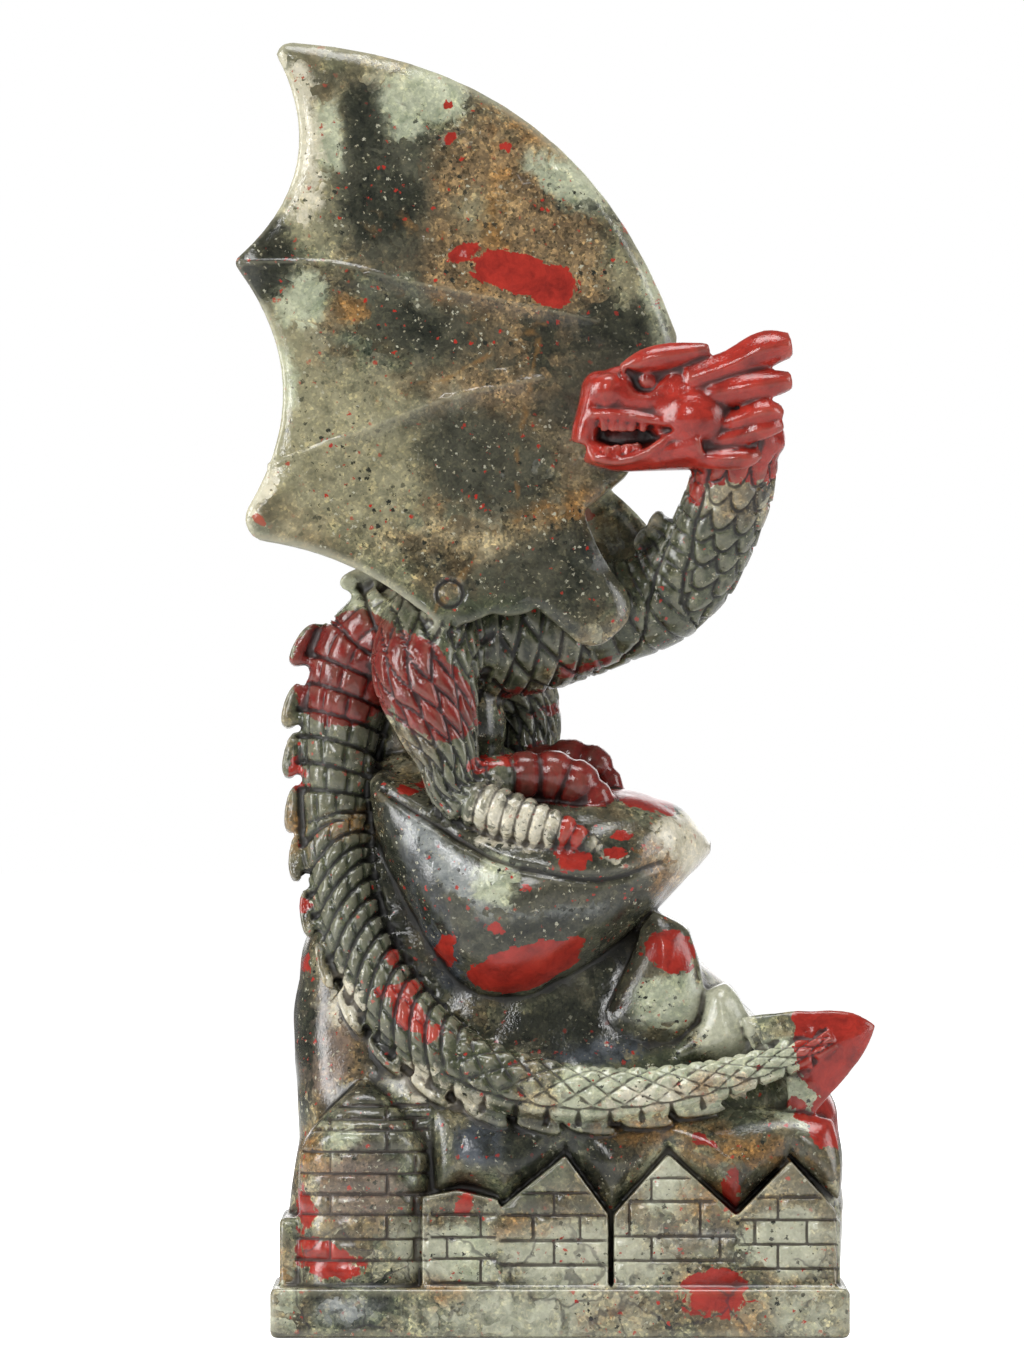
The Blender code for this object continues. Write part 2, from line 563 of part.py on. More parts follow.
def castle(bm):
    """The walled town in front of the hill: a domed tower, a low house and three gables."""
    front = CASTLE_FRONT
    back = front + CASTLE_RELIEF
    rings = []
    for z, share in smooth_rows(TOWER, 4):
        centre = Vector((TOWER_X * PLINTH_UNIT, front + CASTLE_RELIEF, at(0, 0, z).z))
        rings.append(ring(bm, centre, Vector((1, 0, 0)), Vector((0, 1, 0)), TOWER_HALF * share * PLINTH_UNIT,
                          CASTLE_RELIEF * min(1.0, share * 1.15), 24, 2.6))
    close_shell(bm, rings)
    for outline in WALLS:
        loops = []
        for y in (front, back):
            loops.append([bm.verts.new((x * PLINTH_UNIT, y, at(0, 0, z).z)) for x, z in outline])
        close_shell(bm, loops)


def plinth(bm):
    """The plinth, its edges a little rounded, and the shoulder behind the town."""
    for low, high, width, front in (
        (0.0, PLINTH_HEIGHT, PLINTH_WIDTH, -PLINTH_DEPTH / 2),
        (PLINTH_HEIGHT / 2, at(0, 0, SHOULDER_TOP).z, PLINTH_WIDTH * SHOULDER_SHARE,
         CASTLE_FRONT + CASTLE_RELIEF * 0.7),
    ):
        block = bmesh.new()
        depth = PLINTH_DEPTH / 2 - front
        place = Matrix.Translation((0, PLINTH_DEPTH / 2 - depth / 2, (low + high) / 2))
        bmesh.ops.create_cube(block, size=1.0, matrix=place @ Matrix.Diagonal((width, depth, high - low, 1)))
        bmesh.ops.bevel(block, geom=block.edges[:], offset=PLINTH_HEIGHT * 0.12, segments=2,
                        profile=0.5, affect="EDGES")
        add_shell(bm, block)


def bands(along, pitch, groove, edge):
    """Height, from 0 to 1, of flat bands with a narrow groove between them."""
    place = (along / pitch % 1.0) * pitch
    return np.clip(np.minimum(place, pitch - place) - groove / 2, 0, edge) / edge


def scales(along, around, length, width, point, power, groove, tilt):
    """Height, from 0 to 1, of staggered scales with a groove round each, tips pointing on along the limb.

    A tip reaches past its neighbours' corners by point, as a share of the length, and is
    sharp at power 1 and round above it. Each scale rises by tilt from its root to its tip.
    """
    def tip(row):
        side = np.abs(((around / width + 0.5 * (row % 2)) % 1.0) * 2 - 1)
        return (row + 1 - point * side**power) * length

    row = np.floor(along / length)
    row = row + (along > tip(row))
    own = tip(row) - along
    edge = np.minimum(own, along - tip(row - 1)) / math.hypot(1, point * 2 * length / width)
    return np.clip((edge - groove / 2) / 0.55, 0, 1) * (1 - tilt * own / (length * (1 + point)))


TAIL_TURN = (30, 42)         # lengths between which the bands' slant changes
TAIL_SLANT = (1.0, -3.8)     # slant before and after
TAIL_PITCH = 3.6
SCALES_FROM = (78, 84)       # lengths between which scales take over from bands
TAIL_SEAM = 0.62             # angle round the tail of the seam above the crest
TAIL_GIRTH = 5.2             # what one radian round the tail measures in the lattice
LATTICE_PITCH = 4.8


def tail_carving(along, angle):
    """Bands down to the bend, then a lattice of scales above the tiles that carry the crest."""
    slant = np.interp(along, TAIL_TURN, TAIL_SLANT)
    ribs = bands(along + slant * np.sin(angle), TAIL_PITCH, 0.5, 0.35)
    around = angle * TAIL_GIRTH
    lattice = np.minimum(bands(along + around, LATTICE_PITCH, 0.2, 1.6),
                         bands(along - around, LATTICE_PITCH, 0.2, 1.6))
    lower = np.where(angle > TAIL_SEAM, 0.2 + 0.8 * bands(along, 4.6, 0.3, 0.5), lattice)
    lower = lower * np.clip(abs(angle - TAIL_SEAM) * 9, 0, 1)
    share = np.clip((along - SCALES_FROM[0]) / (SCALES_FROM[1] - SCALES_FROM[0]), 0, 1)
    return ribs * (1 - share) + lower * share


NECK_GROOVES = (             # angle of each long groove at lengths along the neck
    ((4, 7.5, 10, 15.5, 19.5, 26), (1.3, 0.75, 0.0, -0.56, -0.85, -1.2)),
    ((12, 13.5, 15, 19.5, 29, 40), (1.9, 1.4, 0.36, -0.12, -0.57, -0.8)),
)


def neck_carving(along, angle):
    """Round scales on the outer side, and plates on the throat between two long grooves."""
    grooves = [np.interp(along, *groove) for groove in NECK_GROOVES]
    line = np.min([abs(angle - groove) for groove in grooves], axis=0) * 7
    plates = 0.55 + 0.45 * bands(along - 1.1 * angle, 3.3, 0.2, 0.4)
    outer = scales(-along, angle * 7.0, 3.7, 4.4, 0.7, 2.2, 0.15, 0.75)
    return np.where(angle > grooves[1], outer, plates) * np.clip((line - 0.2) / 0.45, 0, 1)


def body_carving(along, angle):
    """Pointed scales that hang down the flank."""
    return scales(-angle * 10.0 - 0.5 * along, along, 5.6, 4.2, 0.85, 1.0, 0.3, 0.55)


def thigh_carving(along, angle):
    """Pointed scales."""
    return scales(along, angle * 8.0 + 0.5 * along, 4.6, 3.9, 0.8, 1.15, 0.25, 0.6)


def toe_carving(along, angle):
    """Rings."""
    return 0.35 + 0.65 * bands(along, 2.2, 0.2, 0.6)


CARVED = (
    (TAIL, tail_carving),
    (NECK, neck_carving),
    (NEAR_THIGH, thigh_carving),
    (FAR_THIGH, thigh_carving),
    *((rows, toe_carving) for rows in TOES),
    (BODY, body_carving),
)


def carve_skin(mesh):
    """Sinks the carving's grooves into the dragon's skin; the scale tips keep the limbs' own size."""
    count = len(mesh.vertices)
    places = np.empty(count * 3)
    mesh.vertices.foreach_get("co", places)
    places = places.reshape(-1, 3)
    drawn = places / FIGURE_UNIT
    drawn[:, 2] = (places[:, 2] - PLINTH_HEIGHT) / FIGURE_UNIT + DRAWN_PLINTH
    normals = np.array([v.normal for v in mesh.vertices])
    sunk = np.zeros(count)
    taken = np.zeros(count, bool)
    for rows, carving in CARVED:
        track = Track(rows, 10)
        reach = track.radii.max() * 1.4
        low, high = track.points.min(0) - reach, track.points.max(0) + reach
        near = np.where(np.all((drawn > low) & (drawn < high), axis=1) & ~taken)[0]
        along, share, angle = track.measure(drawn[near])
        on_skin = (abs(share - 1) < 0.2) & (along > 0) & (along < track.along[-1])
        chosen = near[on_skin]
        sunk[chosen] = 1 - carving(along[on_skin], angle[on_skin])
        taken[chosen] = True
    places -= normals * (sunk * CARVING_DEPTH)[:, None]
    mesh.vertices.foreach_set("co", places.ravel())
    mesh.update()


def stone_material():
    """Dark green stone with a polished surface."""
    material = bpy.data.materials.new("polished_stone")
    material.use_nodes = True
    shader = material.node_tree.nodes["Principled BSDF"]
    shader.inputs["Base Color"].default_value = (0.16, 0.17, 0.13, 1)
    shader.inputs["Roughness"].default_value = 0.22
    shader.inputs["Metallic"].default_value = 0.0
    return material


def fused(mesh, voxel):
    """The mesh's shells made one skin."""
    rough = bpy.data.objects.new("rough", mesh)
    bpy.context.scene.collection.objects.link(rough)
    remesh = rough.modifiers.new("Fuse", "REMESH")
    remesh.mode = "VOXEL"
    remesh.voxel_size = voxel
    graph = bpy.context.evaluated_depsgraph_get()
    skin = bpy.data.meshes.new_from_object(rough.evaluated_get(graph))
    bpy.data.objects.remove(rough)
    return skin


def statue(bm):
    """The shells made one solid: fused, carved, ground flat below, thinned to the face limit."""
    bmesh.ops.recalc_face_normals(bm, faces=bm.faces[:])
    mesh = bpy.data.meshes.new("shells")
    bm.to_mesh(mesh)
    bm.free()
    skin = fused(mesh, VOXEL)
    carve_skin(skin)
    skin = fused(skin, VOXEL)
    for vert in skin.vertices:
        if vert.co.z < VOXEL * 0.6:
            vert.co.z = 0.0
    made = bpy.data.objects.new("dragon_statue", skin)
    bpy.context.scene.collection.objects.link(made)
    thin = made.modifiers.new("Thin", "DECIMATE")
    thin.ratio = FACE_LIMIT / (2 * len(skin.polygons))
    thin.use_collapse_triangulate = True
    return made


def main():
    for obj in list(bpy.data.objects):
        bpy.data.objects.remove(obj)
    bm = bmesh.new()
    plinth(bm)
    castle(bm)
    rocks(bm)
    limb(bm, BODY, sides=24)
    neck(bm)
    tail(bm)
    legs(bm)
    head(bm)
    wing(bm, -1)
    wing(bm, 1)
    far_root(bm)
    made = statue(bm)
    made.data.materials.append(stone_material())


main()
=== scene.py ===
# A dragon carved from one block of mottled green and red stone, on a rock above a walled town
import math

import bmesh
import bpy
import numpy as np
from mathutils import Matrix, Vector


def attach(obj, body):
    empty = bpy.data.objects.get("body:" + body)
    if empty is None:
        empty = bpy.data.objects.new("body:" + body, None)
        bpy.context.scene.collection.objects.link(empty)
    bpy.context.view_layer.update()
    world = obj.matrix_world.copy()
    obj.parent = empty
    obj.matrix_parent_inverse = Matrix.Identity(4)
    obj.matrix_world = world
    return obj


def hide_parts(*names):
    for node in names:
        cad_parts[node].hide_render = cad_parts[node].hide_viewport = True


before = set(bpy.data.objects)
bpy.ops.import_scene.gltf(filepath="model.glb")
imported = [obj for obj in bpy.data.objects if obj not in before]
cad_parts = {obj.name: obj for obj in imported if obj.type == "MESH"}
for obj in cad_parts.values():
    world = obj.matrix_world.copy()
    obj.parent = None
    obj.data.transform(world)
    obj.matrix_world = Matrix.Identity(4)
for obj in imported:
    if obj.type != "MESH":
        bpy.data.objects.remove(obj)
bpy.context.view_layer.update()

# Everything is drawn in millimetres: x across, -y to the front, z up from the ground
mm = 0.001
block = bmesh.new()     # every form, still separate, before the block is fused


def smoothRows(rows, steps):
    points = np.array(rows, float)
    padded = np.vstack([2 * points[0] - points[1], points, 2 * points[-1] - points[-2]])
    made = []
    for i in range(len(points) - 1):
        a, b, c, d = padded[i : i + 4]
        for k in range(steps):
            t = k / steps
            made.append(0.5 * (2 * b + (c - a) * t + (2 * a - 5 * b + 4 * c - d) * t**2
                               + (3 * b - a - 3 * c + d) * t**3))
    made.append(points[-1])
    return np.array(made)


def addForm(form, target=None):
    bmesh.ops.recalc_face_normals(form, faces=form.faces[:])
    holder = bpy.data.meshes.new("form")
    form.to_mesh(holder)
    (target or block).from_mesh(holder)
    bpy.data.meshes.remove(holder)
    form.free()


def placing(centre, across, deep, halfAcross, halfDeep):
    # carries the unit circle in the XY plane to an ellipse anywhere
    a, d = Vector(across) * halfAcross, Vector(deep) * halfDeep
    n = Vector(across).cross(Vector(deep))
    return Matrix(((a.x, d.x, n.x, centre[0]), (a.y, d.y, n.y, centre[1]),
                   (a.z, d.z, n.z, centre[2]), (0, 0, 0, 1)))


def sweepForm(placings, sides, power=2.0, target=None):
    # a capped circle, squarer as power rises, pulled on from place to place
    form = bmesh.new()
    bmesh.ops.create_circle(form, cap_ends=True, segments=sides, radius=1.0)
    for vert in form.verts:
        angle = math.atan2(vert.co.y, vert.co.x)
        for k, value in enumerate((math.cos(angle), math.sin(angle))):
            vert.co[k] = math.copysign(abs(value) ** (2 / power), value)
    bmesh.ops.transform(form, matrix=placings[0], verts=form.verts[:])
    cap = form.faces[:]
    for last, here in zip(placings, placings[1:]):
        made = bmesh.ops.extrude_face_region(form, geom=cap)["geom"]
        verts = [g for g in made if isinstance(g, bmesh.types.BMVert)]
        cap = [g for g in made if isinstance(g, bmesh.types.BMFace)]
        bmesh.ops.transform(form, matrix=here @ last.inverted(), verts=verts)
    addForm(form, target)


class Track:
    # a smooth path through rows of (x, y, z, radius) or (x, y, z, radius across, radius in depth)
    def __init__(self, rows, steps=8):
        path = smoothRows([row if len(row) == 5 else (*row, row[3]) for row in rows], steps)
        self.points, self.radii = path[:, :3], path[:, 3:]
        tangents = np.gradient(self.points, axis=0)
        self.tangents = tangents / np.linalg.norm(tangents, axis=1)[:, None]
        deep = np.array([0.0, 1.0, 0.0]) - self.tangents * self.tangents[:, 1:2]
        self.deep = deep / np.linalg.norm(deep, axis=1)[:, None]
        self.across = np.cross(self.deep, self.tangents)
        gaps = np.linalg.norm(np.diff(self.points, axis=0), axis=1)
        self.along = np.concatenate([[0.0], np.cumsum(gaps)])

    def measure(self, places):
        # length along, share of the radius, and angle round: 0 faces the front, + is the outer side
        nearest = np.empty(len(places), int)
        for start in range(0, len(places), 4000):
            gaps = places[start : start + 4000, None] - self.points[None]
            nearest[start : start + 4000] = np.argmin((gaps**2).sum(2), axis=1)
        offset = places - self.points[nearest]
        along = self.along[nearest] + (offset * self.tangents[nearest]).sum(1)
        across = (offset * self.across[nearest]).sum(1) / self.radii[nearest, 0]
        deep = (offset * self.deep[nearest]).sum(1) / self.radii[nearest, 1]
        return along, np.hypot(across, deep), np.arctan2(across, -deep)


def limb(rows, sides=36, steps=8, power=2.0, target=None):
    track = Track(rows, steps)
    sweepForm([placing(*row) for row in zip(track.points, track.across, track.deep,
                                            track.radii[:, 0], track.radii[:, 1])], sides, power, target)


def boulder(rows, sides=60, steps=8, power=2.6, upright=True):
    # rows of (height, low x, high x, front, back), or of (x, low z, high z, front, back)
    placings = []
    for position, low, high, front, back in smoothRows(rows, steps):
        middle, y = (low + high) / 2, (front + back) / 2
        centre = (middle, y, position) if upright else (position, y, middle)
        across = (1, 0, 0) if upright else (0, 0, -1)
        placings.append(placing(centre, across, (0, 1, 0), (high - low) / 2, (back - front) / 2))
    sweepForm(placings, sides, power)


def lump(centre, radii, lean=0.0, target=None):
    form = bmesh.new()
    place = Matrix.Translation(centre) @ Matrix.Rotation(math.radians(lean), 4, "Y")
    bmesh.ops.create_icosphere(form, subdivisions=4, radius=1.0,
                               matrix=place @ Matrix.Diagonal((*radii, 1)))
    addForm(form, target)


def arcOutline(corners, steps=14):
    # corners (x, z, bulge): each side is an arc that stands out by bulge
    outline = []
    for i, (x, z, bulge) in enumerate(corners):
        nextX, nextZ, _ = corners[(i + 1) % len(corners)]
        dx, dz = nextX - x, nextZ - z
        length = math.hypot(dx, dz)
        count = steps if abs(bulge) > 0.05 else 1
        for k in range(count):
            t = k / count
            stand = bulge * 4 * t * (1 - t)
            outline.append((x + dx * t - stand * dz / length, z + dz * t + stand * dx / length))
    return outline


def nearestLine(points, line, closed=True):
    best = np.full(len(points), 1e9)
    line = np.array(line, float)
    ends = np.roll(line, -1, axis=0) if closed else line[1:]
    for a, b in zip(line, ends):
        side = b - a
        share = np.clip(((points - a) @ side) / max(side @ side, 1e-12), 0, 1)
        best = np.minimum(best, np.linalg.norm(points - (a + share[:, None] * side), axis=1))
    return best


def slab(outline, spacing, facesAt):
    # a plate cut to an outline, gridded; facesAt gives its front and back at each point
    plate = bmesh.new()
    plate.faces.new([plate.verts.new((x, 0, z)) for x, z in outline])
    low, high = np.min(outline, axis=0), np.max(outline, axis=0)
    for axis, normal in ((0, (1, 0, 0)), (1, (0, 0, 1))):
        for place in np.arange(low[axis] + spacing / 2, high[axis], spacing):
            bmesh.ops.bisect_plane(plate, geom=plate.verts[:] + plate.edges[:] + plate.faces[:],
                                   plane_co=Vector(normal) * place, plane_no=normal)
    bmesh.ops.triangulate(plate, faces=plate.faces[:])
    front = plate.verts[:]
    made = bmesh.ops.extrude_face_region(plate, geom=plate.faces[:] + plate.edges[:] + plate.verts[:])
    back = [g for g in made["geom"] if isinstance(g, bmesh.types.BMVert)]
    for verts, which in ((front, 0), (back, 1)):
        flat = np.array([(v.co.x, v.co.z) for v in verts])
        depth = facesAt(flat, nearestLine(flat, outline))[which]
        for vert, y in zip(verts, depth):
            vert.co.y = y
    addForm(plate)


wings = {
    "rim": 4.2,          # thickness at the leading edge
    "skin": 2.4,         # thickness between the fingers
    "fingerRise": 0.7,
    "fingerWidth": 2.2,
    "spacing": 1.2,
    "corners": (
        (-44.5, 201.0, 0.6), (-42.0, 202.9, 12.6), (18.5, 156.8, 1.8), (10.2, 134.5, 0.0),
        (3.8, 129.2, -0.8), (10.3, 117.0, 1.6), (8.6, 109.8, 1.0), (3.0, 108.4, 0.0),
        (-3.6, 114.0, 0.8), (-10.5, 113.1, 0.0), (-17.2, 110.4, 0.9), (-19.8, 111.8, -2.4),
        (-47.6, 124.8, 0.9), (-48.8, 129.6, -6.4), (-50.8, 167.6, 0.3), (-50.2, 169.2, -6.2),
    ),
    "fingers": (
        ((8, 118), (17, 148), (6, 177), (-20, 194), (-43, 201)),
        ((8, 118), (14, 146), (6, 158), (-9.4, 162.3), (-25, 165.4), (-50.5, 168)),
        ((8, 118), (5, 140), (-3, 149), (-17.2, 146.6), (-33.7, 140.3), (-48, 128.5)),
    ),
    "farRoot": ((0.0, 136.0, 0.0), (8.2, 132.6, 0.4), (15.7, 124.7, 0.0), (12.0, 116.0, 0.0),
                (0.0, 114.0, 0.0)),
}


def wingDepth(x, z):
    return 11.6 - 0.164 * (z - 112) + 0.176 * (10 - x) - 0.0009 * (x + 15) ** 2


def makeWings():
    fingers = [smoothRows(finger, 8) for finger in wings["fingers"]]
    for side in (-1, 1):
        def facesAt(points, edge):
            x, z = points[:, 0], points[:, 1]
            middle = side * wingDepth(x, z)
            finger = np.min([nearestLine(points, f, False) for f in fingers], axis=0)
            skin, rim = wings["skin"] / 2, wings["rim"] / 2
            half = skin + (rim - skin) * np.clip((x + z - 128) / 45, 0, 1)
            half += wings["fingerRise"] * np.exp(-((finger / wings["fingerWidth"]) ** 2))
            half += 1.6 * np.exp(-(((x - 4) ** 2 + (z - 114) ** 2) / 90))
            half *= 0.45 + 0.55 * np.sqrt(np.clip(edge / 2.4, 0, 1))
            return middle - half, middle + half

        slab(arcOutline(wings["corners"]), wings["spacing"], facesAt)

    def rootFaces(points, edge):
        middle = 6.5 + 0.25 * (133 - points[:, 1]) - 0.2 * (points[:, 0] - 8)
        half = 0.7 + 1.0 * np.sqrt(np.clip(edge / 2.4, 0, 1))
        return middle - half, middle + half

    slab(arcOutline(wings["farRoot"], 4), wings["spacing"], rootFaces)


dragon = {
    "body": ((11.0, 0, 113.6, 7.8), (4.7, 0, 112.6, 9.2), (-4.7, 0, 110.6, 10.3),
             (-14.1, 0, 109.8, 10.6), (-23.5, 0, 109.6, 9.4), (-31.0, 0, 108.8, 7.2)),
    "neck": ((5.0, 0, 113.2, 8.4), (12.0, -1, 114.2, 7.9), (17.5, -2, 116.8, 7.6),
             (21.6, -4, 121.0, 7.3), (24.4, -6.5, 126.2, 7.0), (26.5, -9.5, 131.4, 6.9),
             (27.6, -12, 136.6, 6.8), (26.5, -14, 141.5, 6.6)),
    "tail": ((-25.0, 0, 111.5, 8.0), (-31.0, 0, 107.4, 7.2), (-33.6, -1, 99.6, 6.7),
             (-34.8, -2.5, 90.2, 5.9), (-35.1, -4, 80.8, 5.4), (-34.3, -7, 71.3, 5.2),
             (-31.7, -10, 61.9, 5.2), (-27.0, -13, 53.3, 5.4), (-20.4, -16, 46.3, 5.5),
             (-11.8, -18.4, 41.2, 5.3), (-2.4, -19.4, 38.7, 4.9), (7.8, -19.8, 37.9, 4.4),
             (18.8, -19.6, 39.0, 3.8), (28.2, -18.6, 41.2, 3.1), (36.9, -17.2, 44.1, 2.5),
             (42.5, -16, 46.5, 1.8)),
    "arrow": ((28.4, 49.8, 0.6), (44.5, 50.8, 0.5), (49.6, 48.6, 0.5), (46.0, 42.0, 0.3),
              (38.2, 33.4, 0.5), (35.6, 35.0, 0.0), (35.2, 42.2, 0.0), (30.0, 45.0, 0.0)),
    "nearThigh": ((-19.0, -5.0, 111.5, 9.0), (-21.0, -10.5, 104.3, 8.8), (-19.6, -13.0, 97.2, 7.2),
                  (-17.8, -14.5, 91.0, 5.4), (-17.0, -15.5, 86.0, 4.1), (-14.5, -16.5, 82.8, 3.8)),
    "farThigh": ((-13.0, 5.0, 111.0, 9.0), (-9.0, 10.5, 104.8, 7.8), (-5.4, 11.5, 98.0, 5.8),
                 (-5.2, 10.5, 92.0, 5.2), (-5.5, 9.5, 87.0, 4.2)),
    "toes": (
        ((-16.5, -16.5, 84.5, 3.4), (-9.5, -18.2, 82.2, 3.8), (-3.2, -19.2, 80.2, 3.3),
         (1.6, -19.6, 78.8, 2.3), (6.0, -19.8, 76.4, 0.8)),
        ((-15.5, -13.5, 86.5, 3.3), (-7.0, -11.5, 87.8, 3.6), (0.0, -10.5, 87.6, 3.9),
         (4.7, -10.5, 84.6, 3.5), (8.2, -10.5, 80.0, 1.2)),
        ((-8.0, 5.0, 87.5, 3.0), (0.8, 3.0, 90.4, 3.0), (6.0, 2.0, 89.0, 2.8), (9.8, 1.5, 83.6, 1.0)),
        ((-8.0, 10.0, 87.0, 3.2), (0.0, 11.5, 88.0, 3.2), (5.5, 12.0, 85.6, 2.6),
         (8.8, 12.0, 80.5, 0.9)),
    ),
    "crestThickness": 2.8,
    "crestPitch": 7.8,
    "crestEnd": 124.0,
    "neckCrest": (16.5, 21.5),
}


def crestPlate(track, length, height, reach, side=1):
    # a rounded tooth that leans down the track
    i = int(np.argmin(abs(track.along - length)))
    along, out, deep = (Vector(a[i]) for a in (track.tangents, track.across * side, track.deep))
    root = Vector(track.points[i]) + out * track.radii[i, 0]
    profile = smoothRows(((-0.5, -0.8), (-0.52, 0.2), (-0.34, 0.75), (0.02, 1.0), (0.36, 0.98),
                          (0.47, 0.6), (0.38, 0.1), (0.36, -0.8)), 4)
    form = bmesh.new()
    half = dragon["crestThickness"] / 2
    face = form.faces.new([form.verts.new(root + along * (a * reach) + out * (h * height) - deep * half)
                           for a, h in profile])
    made = bmesh.ops.extrude_face_region(form, geom=[face])["geom"]
    bmesh.ops.translate(form, vec=deep * (2 * half),
                        verts=[g for g in made if isinstance(g, bmesh.types.BMVert)])
    bmesh.ops.bevel(form, geom=form.edges[:], offset=0.35, segments=2, profile=0.5,
                    affect="EDGES", material=-1)
    addForm(form)


def makeDragon():
    for name in ("body", "neck", "tail", "nearThigh", "farThigh"):
        limb(dragon[name], sides=48)
    for rows in dragon["toes"]:
        limb(rows, sides=28)
    tailTrack, neckTrack = Track(dragon["tail"], 12), Track(dragon["neck"], 12)
    for k in range(int(dragon["crestEnd"] / dragon["crestPitch"]) + 1):
        crestPlate(tailTrack, 2.0 + k * dragon["crestPitch"], 3.3 - 0.13 * k, dragon["crestPitch"])
    for length in dragon["neckCrest"]:
        crestPlate(neckTrack, length, 2.8, 5.0, side=-1)
    lump((-14.0, 0.0, 96.0), (5.6, 6.5, 11.0))
    lump((-25.0, 4.5, 94.0), (6.0, 6.0, 9.0))

    def arrowFaces(points, edge):
        middle = -16.0 + 0.12 * (points[:, 0] - 30)
        half = 0.5 + 2.6 * np.clip(edge / 6.5, 0, 1) ** 0.8
        return middle - half, middle + half

    slab(arcOutline(dragon["arrow"], 6), 0.7, arrowFaces)


head = {
    "y": -14.5,
    "locks": (           # x, z and radius at four places along each lock, and its lift outward
        ((20.0, 149.6, 2.4), (26.5, 151.8, 2.6), (32.0, 154.4, 3.0), (36.2, 155.2, 2.0), 0.0),
        ((21.0, 147.0, 2.2), (27.0, 148.0, 2.6), (32.0, 148.9, 2.4), (36.2, 149.6, 1.5), 0.8),
        ((23.0, 141.8, 1.6), (28.0, 143.2, 1.8), (32.0, 144.6, 1.9), (34.6, 144.4, 1.4), 1.8),
        ((22.0, 139.8, 1.8), (27.0, 140.6, 1.6), (31.5, 141.8, 1.7), (34.8, 142.6, 1.1), 1.6),
        ((20.0, 137.8, 1.8), (24.5, 137.2, 1.8), (28.5, 137.3, 1.8), (31.4, 138.0, 1.0), 1.4),
    ),
    "upperTeeth": (6.9, 8.3, 9.7, 11.3, 13.0),
    "lowerTeeth": (7.4, 8.9, 10.5, 12.1),
    "grain": 0.34,
    "inside": (          # where painted shade darkens the mouth and the eye sockets, in rows as in the table of blotches
        (10.6, 140.5, 6.4, 3.4, 0, -14.5, 3.3), (12.6, 149.3, 2.7, 2.4, -24, -14.5, 3.9),
    ),
}


def lock(rows, flat=0.75, target=None, power=2.0):
    limb([(x, y, z, r, r * flat) for x, y, z, r in rows], 24, 8, power, target)


def tooth(x, y, z):
    form = bmesh.new()
    matrix = Matrix.Translation((x, y, z)) @ Matrix.Diagonal((1.05, 1.8, 2.3, 1))
    bmesh.ops.create_cube(form, size=1.0, matrix=matrix)
    bmesh.ops.bevel(form, geom=form.edges[:], offset=0.3, segments=2, profile=0.5, affect="EDGES", material=-1)
    mesh = bpy.data.meshes.new("tooth")
    form.to_mesh(mesh)
    form.free()
    return mesh


